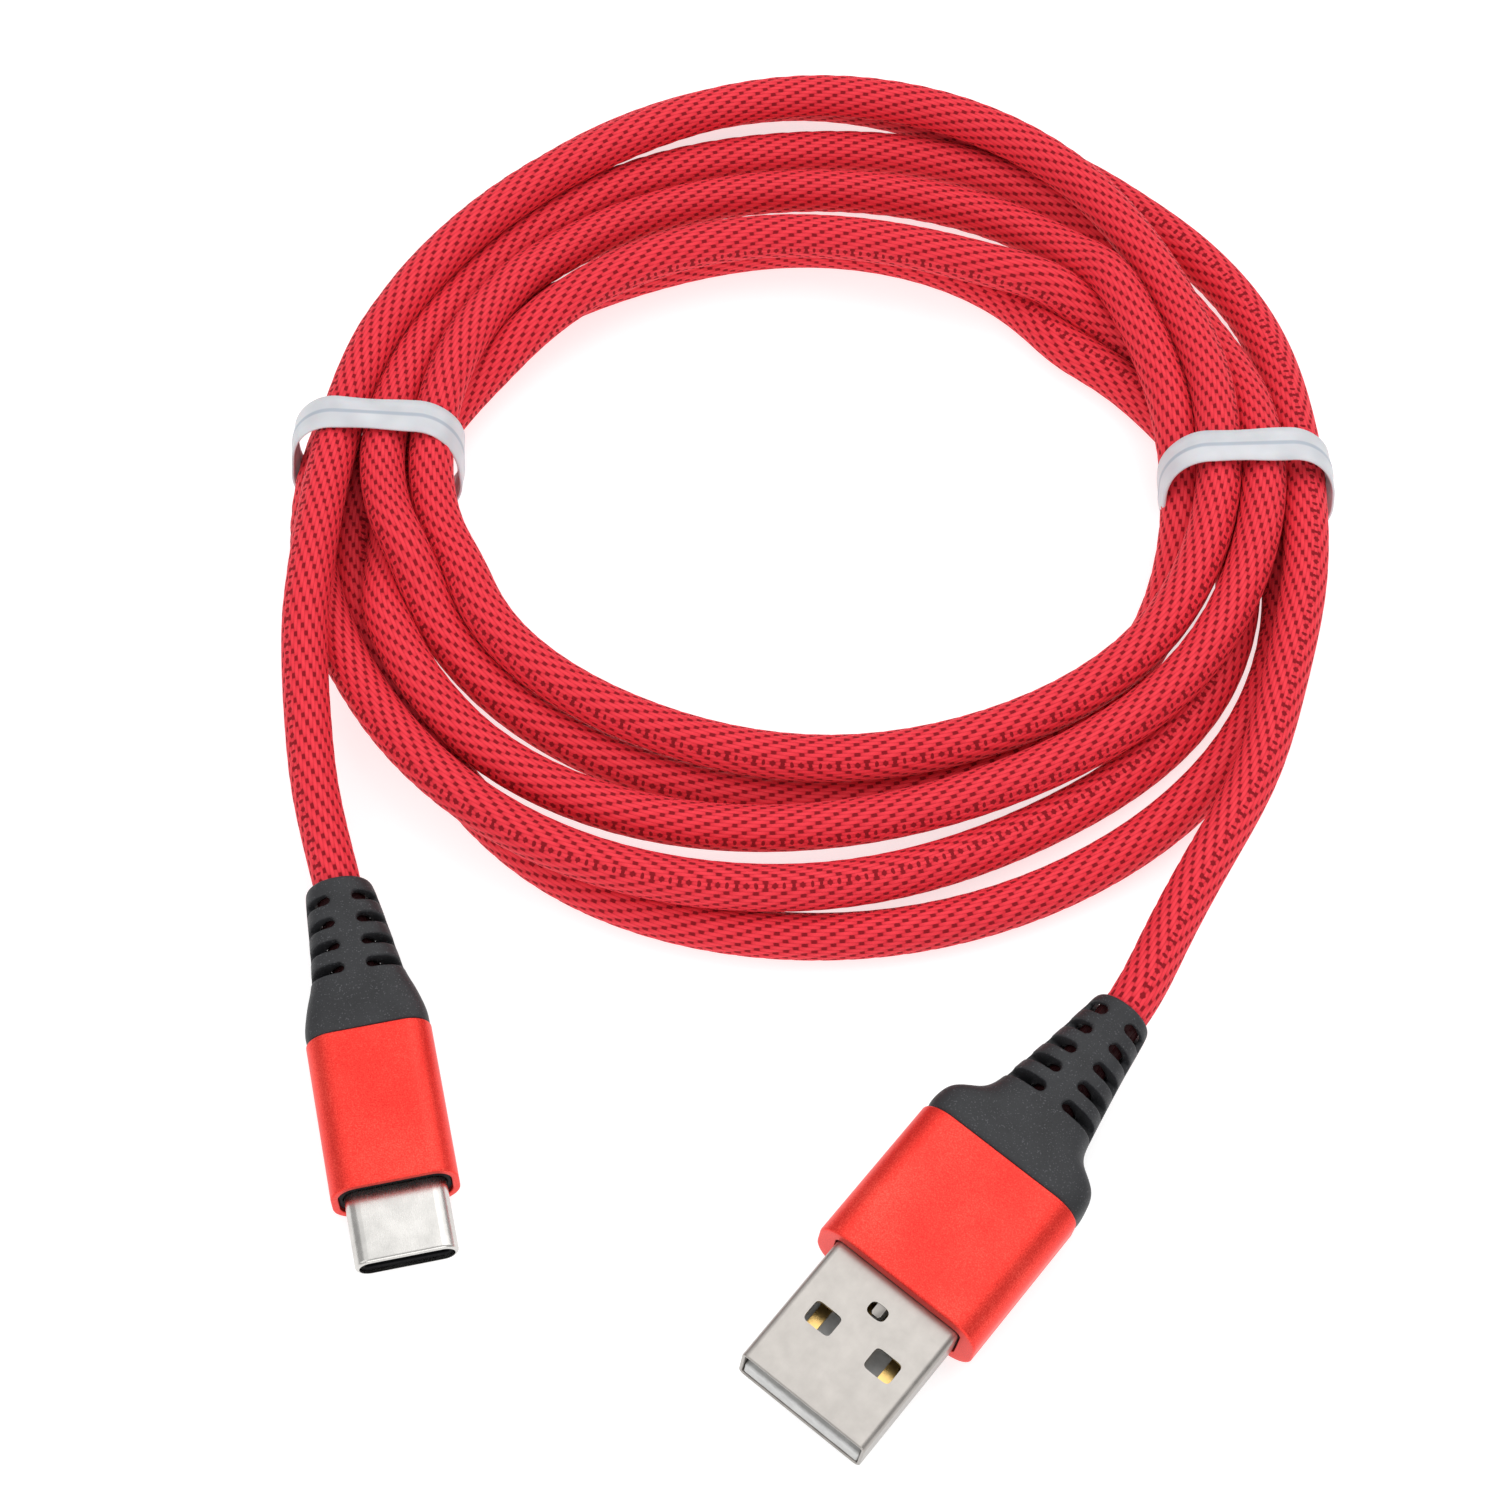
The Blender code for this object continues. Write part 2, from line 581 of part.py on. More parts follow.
def make_usb_a_housing(plug):
    """The anodised sleeve: closed at the front but for the shell's opening, open at the back."""
    width, height = USB_A_HOUSING["size"]
    start, end = USB_A_HOUSING["span"]
    corner = USB_A_HOUSING["corner"]
    wall = USB_A_HOUSING_WALL
    middle = (0.0, 0.0)
    housing = block("usb_a_housing", (width, height), (start, end), middle, "anodised", plug, corner)
    inner = (width - 2 * wall, height - 2 * wall)
    span = (start + USB_A_HOUSING_FRONT, end + OVERCUT)
    cut(housing, block("usb_a_housing_room", inner, span, middle, "anodised", plug, corner - wall))
    opening = (USB_A_SHELL["size"][0] + 0.5 * MM, USB_A_SHELL["size"][1] + 0.5 * MM)
    span = (start - OVERCUT, start + USB_A_HOUSING_FRONT + OVERCUT)
    cut(housing, block("usb_a_housing_mouth", opening, span, middle, "anodised", plug, 0.6 * MM))


def make_usb_a_plug():
    plug = place_plug("usb_a_plug", USB_A_PLACE)
    make_usb_a_shell(plug)
    make_usb_a_inside(plug)
    make_usb_a_housing(plug)
    make_boot("usb_a_boot", USB_A_BOOT_PROFILE, USB_A_BOOT_BEND, USB_A_BOOT_SLOTS, plug)
    points = cord_end_points(USB_A_CORD_END, USB_A_BOOT_BEND)
    tube("usb_a_cord_end", points, CORD_DIAMETER, 2, "braid", plug)
    return plug


def make_usb_c_shell(plug):
    """The deep-drawn stadium shell."""
    width, height = USB_C_SHELL["size"]
    wall = USB_C_SHELL_WALL
    inner = (width - 2 * wall, height - 2 * wall)
    corner = USB_C_SHELL["corner"]
    sleeve("usb_c_shell", (width, height), corner, inner, corner - wall, USB_C_SHELL["span"], "nickel", plug)


def make_usb_c_inside(plug):
    """The insulator, its contacts, the latch, the board, the inner mould, the crimp and the wires."""
    sleeve(
        "usb_c_insulator", USB_C_INSULATOR["size"], USB_C_INSULATOR["corner"], USB_C_SLOT, 0.2 * MM,
        USB_C_INSULATOR["span"], "black_plastic", plug,
    )
    rows = ((USB_C_TOP_CONTACTS, 1), (USB_C_BOTTOM_CONTACTS, -1))
    for contacts, level in rows:
        for name, across in contacts.items():
            middle = (across, level * USB_C_CONTACT["from_middle"])
            block(name, USB_C_CONTACT["size"], USB_C_CONTACT["span"], middle, "gold", plug)
    make_usb_c_latch(plug)
    block("usb_c_circuit_board", USB_C_BOARD["size"], USB_C_BOARD["span"], (0.0, 0.0), "board", plug)
    resistor = USB_C_RESISTOR
    middle = (resistor["across"], USB_C_BOARD["size"][1] / 2 + resistor["size"][1] / 2 + 0.05 * MM)
    block("usb_c_pull_up_resistor", resistor["size"], resistor["span"], middle, "black_plastic", plug)
    make_usb_c_mold(plug)
    make_crimp("usb_c_crimp", USB_C_CRIMP, plug)
    start = USB_C_BOARD["span"][1] + WIRE_GAP
    starts = [Vector((across, start, 0.0)) for across in USB_C_WIRE_STARTS]
    make_wires("usb_c", starts, USB_C_CORD_END[0] - WIRE_GAP, plug)


def make_usb_c_latch(plug):
    """The mid plate with the two side arms that snap into the receptacle's tongue."""
    inner, outer = USB_C_LATCH["across"]
    tip, root, end = USB_C_LATCH["along"]
    outline = [(-outer, tip), (-inner, tip), (-inner, root), (inner, root)]
    outline += [(inner, tip), (outer, tip), (outer, end), (-outer, end)]
    half = USB_C_LATCH["thick"] / 2
    rings = [[Vector((x, y, level)) for x, y in outline] for level in (-half, half)]
    solid_loft("usb_c_latch", rings, "steel", plug)


def make_usb_c_mold(plug):
    """The inner mould behind the shell, open at the front for the board and at the back for the cord."""
    start, end = USB_C_MOLD["span"]
    mold = block(
        "usb_c_inner_mold", USB_C_MOLD["size"], (start, end), (0.0, 0.0), "black_plastic", plug,
        USB_C_MOLD["corner"],
    )
    chamber = USB_C_MOLD_CHAMBER
    span = (start - OVERCUT, chamber["end"])
    cut(mold, block("usb_c_mold_chamber", chamber["size"], span, (0.0, 0.0), "black_plastic", plug))
    span = (chamber["end"] - OVERCUT, end + OVERCUT)
    rings = [oval_section((USB_C_MOLD_BORE,) * 2, along) for along in span]
    cut(mold, solid_loft("usb_c_mold_bore", rings, "black_plastic", plug))


def make_usb_c_housing(plug):
    """The anodised sleeve, and the black collar just inside its front."""
    width, height = USB_C_HOUSING["size"]
    wall = USB_C_HOUSING_WALL
    corner = USB_C_HOUSING["corner"]
    inner = (width - 2 * wall, height - 2 * wall)
    span = USB_C_HOUSING["span"]
    sleeve("usb_c_housing", (width, height), corner, inner, corner - wall, span, "anodised", plug)
    opening = (USB_C_SHELL["size"][0] + 0.2 * MM, USB_C_SHELL["size"][1] + 0.4 * MM)
    sleeve(
        "usb_c_collar", USB_C_COLLAR["size"], USB_C_COLLAR["corner"], opening, 1.4 * MM, USB_C_COLLAR["span"],
        "black_plastic", plug,
    )


def make_usb_c_plug():
    plug = place_plug("usb_c_plug", USB_C_PLACE)
    make_usb_c_shell(plug)
    make_usb_c_inside(plug)
    make_usb_c_housing(plug)
    make_boot("usb_c_boot", USB_C_BOOT_PROFILE, USB_C_BOOT_BEND, USB_C_BOOT_SLOTS, plug)
    points = cord_end_points(USB_C_CORD_END, USB_C_BOOT_BEND)
    tube("usb_c_cord_end", points, CORD_DIAMETER, 2, "braid", plug)
    return plug


def make_lead(name, route, plug, bend, boot_end):
    """The free stretch of cord from the coil to a boot, which it meets a small gap short of its end face."""
    side, lift = bend_at(bend, boot_end)
    slope = 2 * bend["lift"] / (bend["end"] - bend["start"])
    face = plug.matrix_world @ Vector((side, boot_end + CORD_GAP, lift + slope * CORD_GAP))
    tube(name, smooth_route([*route, face], LEAD_POINT_SPACING / 2), CORD_DIAMETER, 2, "braid")


def main():
    clear_scene()
    make_coil()
    for name, (place, turn) in TIES.items():
        make_tie(name, place, turn)
    usb_a = make_usb_a_plug()
    usb_c = make_usb_c_plug()
    make_lead("usb_a_lead", USB_A_LEAD_ROUTE, usb_a, USB_A_BOOT_BEND, USB_A_BOOT_PROFILE[-1][0])
    make_lead("usb_c_lead", USB_C_LEAD_ROUTE, usb_c, USB_C_BOOT_BEND, USB_C_BOOT_PROFILE[-1][0])


main()
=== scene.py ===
"""The finished look of a braided USB-A to USB-C charging cable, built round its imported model.

The cable is one length of cord, laid strand by strand into a coil under two twist ties.
Each plug's pieces are modelled in millimetres in the plug's own frame: X across the plug, +Y from its mouth
to its cord and Z through its thickness. Everything else is in metres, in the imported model's frame.
"""

import math

import bmesh
import bpy
import numpy as np
from mathutils import Euler, Matrix, Vector


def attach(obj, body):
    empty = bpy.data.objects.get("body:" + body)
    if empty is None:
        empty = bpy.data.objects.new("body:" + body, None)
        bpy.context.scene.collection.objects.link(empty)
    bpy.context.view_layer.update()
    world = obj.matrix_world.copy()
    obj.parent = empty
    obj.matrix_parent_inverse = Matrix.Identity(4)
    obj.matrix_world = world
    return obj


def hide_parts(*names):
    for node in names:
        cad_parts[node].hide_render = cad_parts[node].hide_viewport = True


MM = 0.001
BODY = "cable"

# Where the plugs lie, as in the CAD source: the middle of the mouth, and the roll and turn in degrees
PLUG_PLACES = {
    "usb_a": {"mouth": (-1.55 * MM, -65.35 * MM, 4.2 * MM), "turn": -38.5, "roll": 6.0},
    "usb_c": {"mouth": (-32.65 * MM, -52.55 * MM, 3.05 * MM), "turn": 12.0, "roll": 0.0},
}
# How the flexible boots are bent, in millimetres in the plug's frame
BOOT_BENDS = {
    "usb_a": {"start": 27.0, "end": 42.4, "side": 0.0, "lift": 1.8},
    "usb_c": {"start": 21.0, "end": 33.8, "side": -0.4, "lift": 0.9},
}

# The cord
CORD_DIAMETER = 4.05 * MM
CORD_RADIUS = CORD_DIAMETER / 2
COIL_CENTRE = (0.0, 22.0 * MM)
COIL_RADII = (39.2 * MM, 36.9 * MM)
# Each strand's lane over one half of the coil, in millimetres: (out from the coil's middle line, height of
# its centre) at six places 30 degrees apart, clockwise. The halves follow on from each other, starting at
# the left tie: far half, near half, far half and so on.
HALF_TURNS = [
    [(3.9, 6.8), (3.3, 6.0), (5.5, 5.6), (8.3, 5.6), (6.4, 5.8), (0.6, 6.3)],
    [(-2.5, 6.9), (-4.1, 6.1), (-6.2, 6.1), (-7.1, 6.1), (-7.3, 6.1), (-6.1, 6.2)],
    [(-5.1, 6.7), (-3.8, 5.4), (-1.4, 2.9), (-1.1, 2.7), (-0.9, 3.1), (-3.7, 5.2)],
    [(-5.5, 4.0), (-5.0, 2.03), (-5.0, 2.03), (-5.2, 2.03), (-4.5, 2.8), (-2.7, 4.0)],
    [(-0.75, 6.8), (0.5, 5.2), (3.1, 2.9), (4.3, 2.03), (5.1, 2.03), (2.5, 3.0)],
    [(1.4, 6.8), (0.3, 6.0), (-1.4, 5.6), (-0.9, 5.2), (0.9, 4.5), (1.9, 3.9)],
    [(-2.0, 2.7), (-6.6, 4.2), (-8.4, 5.5), (-9.1, 5.5), (-8.9, 5.5), (-3.6, 2.03)],
    [(2.3, 2.65), (6.5, 2.03), (7.7, 2.03), (8.0, 2.03), (7.0, 2.03), (3.2, 2.03)],
    [(1.8, 2.65), (-3.4, 2.03), (-6.9, 2.03), (-7.4, 2.03), (-7.6, 2.03), (-7.2, 2.03)],
    [(-1.9, 2.65), (1.9, 2.03), (2.1, 2.6), (4.7, 4.8), (6.8, 6.0), (6.1, 4.4)],
    [(5.2, 3.2), (5.0, 2.03), (8.5, 2.03), (11.0, 2.03), (8.2, 2.03), (7.9, 2.03)],
]
LANE_STEP = 30  # degrees
LAST_LANE = (5.0, 5.2)  # where the USB-A lead leaves the coil under the right tie
USB_C_LEAD_ROUTE = [
    (-41.5 * MM, -14.5 * MM, 4.4 * MM),
    (-42.7 * MM, -9.5 * MM, 4.9 * MM),
    (-43.5 * MM, -4.0 * MM, 5.4 * MM),
    (-44.0 * MM, 1.8 * MM, 5.9 * MM),
    (-44.0 * MM, 7.5 * MM, 6.2 * MM),
    (-43.8 * MM, 13.5 * MM, 6.5 * MM),
]
USB_A_LEAD_ROUTE = [
    (43.3 * MM, 10.0 * MM, 5.6 * MM),
    (40.9 * MM, 0.3 * MM, 6.0 * MM),
    (37.6 * MM, -9.3 * MM, 6.1 * MM),
    (33.3 * MM, -17.3 * MM, 6.2 * MM),
    (28.8 * MM, -25.6 * MM, 6.1 * MM),
]
# Places along each plug that its cord passes through, from its wires to just past its boot, in millimetres
USB_C_CORD_INSIDE = (15.9, 18.0, 20.5, 24.0, 28.0, 32.0, 34.5)
USB_A_CORD_INSIDE = (43.0, 40.0, 36.0, 32.0, 27.5, 24.0, 20.3)

# How the strands settle against each other
SETTLE_SPACING = 2.0 * MM
SETTLE_SKIP = 2.5 * CORD_DIAMETER  # points closer than this along the cord don't push each other
SETTLE_ROUNDS = 260
SETTLE_PULL = np.array([0.03, 0.03, 0.005])  # share of the way back to its lane in each round
SETTLE_PUSH = 0.8
SETTLE_BLUR = 0.25
SETTLE_RADIUS = 8.5 * MM  # a bend tighter than this eases off
SETTLE_EASE = 0.3
FINE_SPACING = 0.4 * MM

# The braid: rows of stitches, each stitch three steps long, with a gap where one ends and the next starts
BRAID_ROWS = 40
BRAID_STEP = 0.77 * MM
BRAID_STEPS_IN_STITCH = 3
BRAID_RELIEF = 0.07 * MM
SEAM_DIPS = (-0.6, -1.2)  # a seam's rows beside a gap and in it, where other rows stand at 1 and dip to -1
STITCH_WANDER = 0.22  # how far a stitch may stray along its row, in steps
GAP_EDGES = (0.14, 0.42)  # steps from a gap's middle to where its edge starts and ends
EYELET = (0.27, 1.25)  # half the length of a seam's eyelet in steps, and half its width in rows
# How far the seam has twisted round from the top, in degrees, at places along the cord in metres
BRAID_SEAM_PLACES = (0.0, 0.12, 0.67, 1.16, 1.40)
BRAID_SEAM_ANGLES = (40.0, 50.0, 59.0, 190.0, 382.0)
BOOT_SHADE = {"usb_c": 0.0178, "usb_a": 0.0218}  # how much cord each boot hides, in metres, over which the braid is painted dark as the shade inside the boot

# The ties, as in the CAD source
TIE_CIRCLE = 39.2 * MM
TIE_PLACES = {"left_tie": (176.2, -4.0), "right_tie": (-1.2, 2.0)}  # angle round the coil, turn, in degrees
TIE_HALF_SPAN = 7.85 * MM
TIE_LEVELS = (0.1 * MM, 9.85 * MM)
TIE_CORNER = 4.2 * MM
TIE_LEAN = 0.3
TIE_HALF_WIDTH = 1.7 * MM
TIE_WAVES = ((0.09 * MM, 3), (0.05 * MM, 7))  # how high its edges wave, and how often round the loop
TIE_STATIONS = 160

# Plug sections in millimetres: (width, height). Edges are rounding radii: front, back and then inside.
USB_A_SHELL = {"size": (12.0, 4.5), "corner": 0.6, "wall": 0.3, "end": 18.4, "edge": 0.12, "bevel": 0.07}
USB_A_WINDOW = {"size": (2.5, 2.0), "across": 2.95, "along": 6.2, "squareness": 6.0, "segments": 40}
USB_A_TAB_HOLE = {"size": (1.7, 1.25), "across": 0.0, "along": 9.4, "squareness": 3.0, "segments": 28}
USB_A_CUT = 0.6  # how far the cutters reach on both sides of the shell's faces
USB_A_LUG = [(-0.42, 10.2), (-0.42, 9.2), (-0.28, 9.0), (0.28, 9.0), (0.42, 9.2), (0.42, 10.2)]
USB_A_LUG_DEPTHS = (0.06, 0.28)
USB_A_TONGUE = {
    "size": (11.3, 1.9),
    "middle": -1.0,
    "corner": 0.25,
    "span": (0.15, 16.1),
    "edges": (0.2, 0.1),
}
USB_A_HOUSING = {
    "size": (15.4, 7.2),
    "corner": 2.6,
    "span": (12.0, 25.6),
    "wall": 0.6,
    "front": 0.8,
    "edges": (0.2, 0.12, 0.08),
}
USB_A_MOUTH = {"size": (12.3, 4.8), "corner": 0.75, "edge": 0.06}
USB_A_BOOT = {
    "plug": (22.7, 13.6, 5.4),  # from here to the housing's end the boot fills the housing
    "profile": [
        (25.62, 14.7, 6.8),
        (25.95, 15.0, 6.95),
        (27.4, 15.0, 6.9),
        (28.1, 14.6, 6.8),
        (28.8, 13.5, 6.7),
        (29.4, 11.9, 6.6),
        (30.0, 10.5, 6.5),
        (30.8, 9.5, 6.4),
        (32.5, 8.6, 6.3),
        (36.0, 7.3, 6.0),
        (39.0, 6.3, 5.6),
        (41.7, 5.5, 5.3),
        (42.2, 5.25, 5.15),
        (42.4, 4.95, 4.9),
    ],
    "slots": {"first": 32.5, "pitch": 2.1, "count": 5, "width": 1.0},
}
USB_C_SHELL = {"size": (8.34, 2.56), "corner": 1.27, "wall": 0.17, "end": 9.4, "edge": 0.06}
# The shell's rolled front: its radius, how far it turns in, and where the turn starts and ends
USB_C_ROLL = {"radius": 0.3, "inwards": 0.14, "start": 0.35, "end": 0.12, "steps": 8}
USB_C_INSULATOR = {"size": (7.85, 2.1), "corner": 1.02, "span": (0.32, 7.4)}
USB_C_SLOT = {"size": (6.8, 0.98), "corner": 0.25}
USB_C_HOUSING = {
    "size": (10.4, 6.0),
    "corner": 2.2,
    "span": (5.9, 19.8),
    "wall": 0.6,
    "edges": (0.15, 0.1, 0.06, 0.1),
}
USB_C_COLLAR = {"size": (9.15, 4.75), "corner": 1.65, "span": (6.2, 8.4)}
USB_C_COLLAR_OPENING = {"size": (8.5, 2.8), "corner": 1.38}
USB_C_INSIDE = ("contact", "latch", "circuit_board", "inner_mold", "crimp")
USB_C_BOOT = {
    "plug": (18.3, 8.6, 4.3),
    "profile": [
        (19.82, 9.9, 5.7),
        (20.1, 10.15, 5.85),
        (21.3, 10.1, 5.8),
        (22.2, 9.7, 5.8),
        (23.3, 9.1, 5.8),
        (24.5, 8.3, 5.8),
        (25.8, 7.7, 5.8),
        (28.0, 7.1, 5.75),
        (31.0, 6.4, 5.6),
        (33.1, 5.85, 5.4),
        (33.6, 5.6, 5.3),
        (33.8, 5.3, 5.1),
    ],
    "slots": {"first": 25.6, "pitch": 2.1, "count": 4, "width": 0.9},
}
BOOT_BORE = 4.55
BOOT_SPINE = 1.8  # the solid web between the two columns of slots
BOOT_RAIL = 0.45  # half the height of the solid rail down each side
BOOT_VOXEL = 0.12
BOOT_SOFTENING = 4  # rounds of smoothing
BOOT_SEGMENTS = 96
BOOT_RING_SPACING = 0.25
BORE_RINGS = 40
BOOT_SQUARENESS = 4.4  # of its widest section
SQUARENESS_FADE = 0.8  # how soon the sections turn round towards the tail: 1 is evenly, less is later
SLOT_STEPS = 12
SECTION_STEPS = 10  # points round each quarter of a rounded section
RIM_STEPS = 4

# Camera, floor and light
CAMERA_PLACE = (-5.45 * MM, -156.83 * MM, 255.44 * MM)
CAMERA_TILT = 31.0  # degrees from straight down
CAMERA_LENS = 81.6
CAMERA_SENSOR = 36.0
FLOOR_HALF = 3.0
FLOOR_GLOW = 0.68  # keeps the shadows pale
WORLD_STRENGTH = 0.5
# The soft boxes: place and width in metres, and power in watts
SOFT_BOXES = {
    "key_softbox": ((0.35, 0.25, 0.6), 0.8, 2.4),
    "back_softbox": ((-0.12, 0.26, 0.62), 0.9, 1.7),
    "fill_softbox": ((-0.5, -0.3, 0.5), 0.6, 1.0),
    "front_softbox": ((0.1, -0.6, 0.35), 0.5, 1.2),
}

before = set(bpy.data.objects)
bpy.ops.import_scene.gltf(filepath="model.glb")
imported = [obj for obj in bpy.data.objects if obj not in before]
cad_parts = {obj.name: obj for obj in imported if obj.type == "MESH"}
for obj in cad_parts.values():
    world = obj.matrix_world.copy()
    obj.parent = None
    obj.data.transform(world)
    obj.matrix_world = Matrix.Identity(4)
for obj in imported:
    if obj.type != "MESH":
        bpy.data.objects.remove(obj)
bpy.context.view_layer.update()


# ---------------------------------------------------------------- materials


class Finish:
    """A Principled material, and short ways to add the nodes that drive it."""

    def __init__(self, name, roughness, metallic=0.0, **settings):
        self.data = bpy.data.materials.new(name)
        self.data.use_nodes = True
        self.tree = self.data.node_tree
        self.shader = self.tree.nodes["Principled BSDF"]
        self.shader.inputs["Roughness"].default_value = roughness
        self.shader.inputs["Metallic"].default_value = metallic
        for setting, value in settings.items():
            self.shader.inputs[setting.replace("_", " ")].default_value = value

    def put(self, value, socket):
        """Links a node's output, or sets a number, on an input."""
        if isinstance(value, bpy.types.NodeSocket):
            self.tree.links.new(value, socket)
        else:
            socket.default_value = value

    def math(self, operation, *values, clamp=False):
        node = self.tree.nodes.new("ShaderNodeMath")
        node.operation = operation
        node.use_clamp = clamp
        for socket, value in zip(node.inputs, values):
            self.put(value, socket)
        return node.outputs[0]

    def smooth_step(self, value, start, end):
        node = self.tree.nodes.new("ShaderNodeMapRange")
        node.interpolation_type = "SMOOTHSTEP"
        self.put(value, node.inputs["Value"])
        self.put(start, node.inputs["From Min"])
        self.put(end, node.inputs["From Max"])
        return node.outputs["Result"]

    def share(self, value, low, high):
        """Spreads 0 to 1 over low to high."""
        node = self.tree.nodes.new("ShaderNodeMapRange")
        self.put(value, node.inputs["Value"])
        node.inputs["To Min"].default_value = low
        node.inputs["To Max"].default_value = high
        return node.outputs["Result"]

    def noise(self, size, detail=2.0, stretch=(1.0, 1.0, 1.0)):
        """Noise whose lumps are about this size in metres, stretched along the axes by these factors."""
        place = self.tree.nodes.new("ShaderNodeTexCoord")
        mapping = self.tree.nodes.new("ShaderNodeMapping")
        mapping.inputs["Scale"].default_value = tuple(1 / (size * s) for s in stretch)
        self.put(place.outputs["Object"], mapping.inputs["Vector"])
        node = self.tree.nodes.new("ShaderNodeTexNoise")
        node.inputs["Scale"].default_value = 1.0
        node.inputs["Detail"].default_value = detail
        self.put(mapping.outputs["Vector"], node.inputs["Vector"])
        return node.outputs["Fac"]

    def ramp(self, value, *stops):
        """A colour that changes through the stops, each (place, red, green, blue)."""
        node = self.tree.nodes.new("ShaderNodeValToRGB")
        points = node.color_ramp.elements
        while len(points) < len(stops):
            points.new(0.5)
        for point, (place, *colour) in zip(points, stops):
            point.position = place
            point.color = (*colour, 1.0)
        self.put(value, node.inputs["Fac"])
        return node.outputs["Color"]

    def mix(self, share, first, second):
        node = self.tree.nodes.new("ShaderNodeMix")
        node.data_type = "RGBA"
        self.put(share, node.inputs["Factor"])
        for value, socket in ((first, node.inputs[6]), (second, node.inputs[7])):
            self.put(value if isinstance(value, bpy.types.NodeSocket) else (*value, 1.0), socket)
        return node.outputs[2]

    def bump(self, height, depth):
        """Raises the surface by depth metres where height is 1, on top of any bump it has already."""
        node = self.tree.nodes.new("ShaderNodeBump")
        node.inputs["Strength"].default_value = 1.0
        node.inputs["Distance"].default_value = depth
        self.put(height, node.inputs["Height"])
        if self.shader.inputs["Normal"].links:
            self.put(self.shader.inputs["Normal"].links[0].from_socket, node.inputs["Normal"])
        self.put(node.outputs["Normal"], self.shader.inputs["Normal"])

    def colour(self, value):
        self.put(value, self.shader.inputs["Base Color"])

    def roughness(self, value):
        self.put(value, self.shader.inputs["Roughness"])


def uv_parts(finish):
    """The two halves of a surface's UV coordinate."""
    place = finish.tree.nodes.new("ShaderNodeUVMap")
    parts = finish.tree.nodes.new("ShaderNodeSeparateXYZ")
    finish.put(place.outputs["UV"], parts.inputs["Vector"])
    return parts.outputs["X"], parts.outputs["Y"]


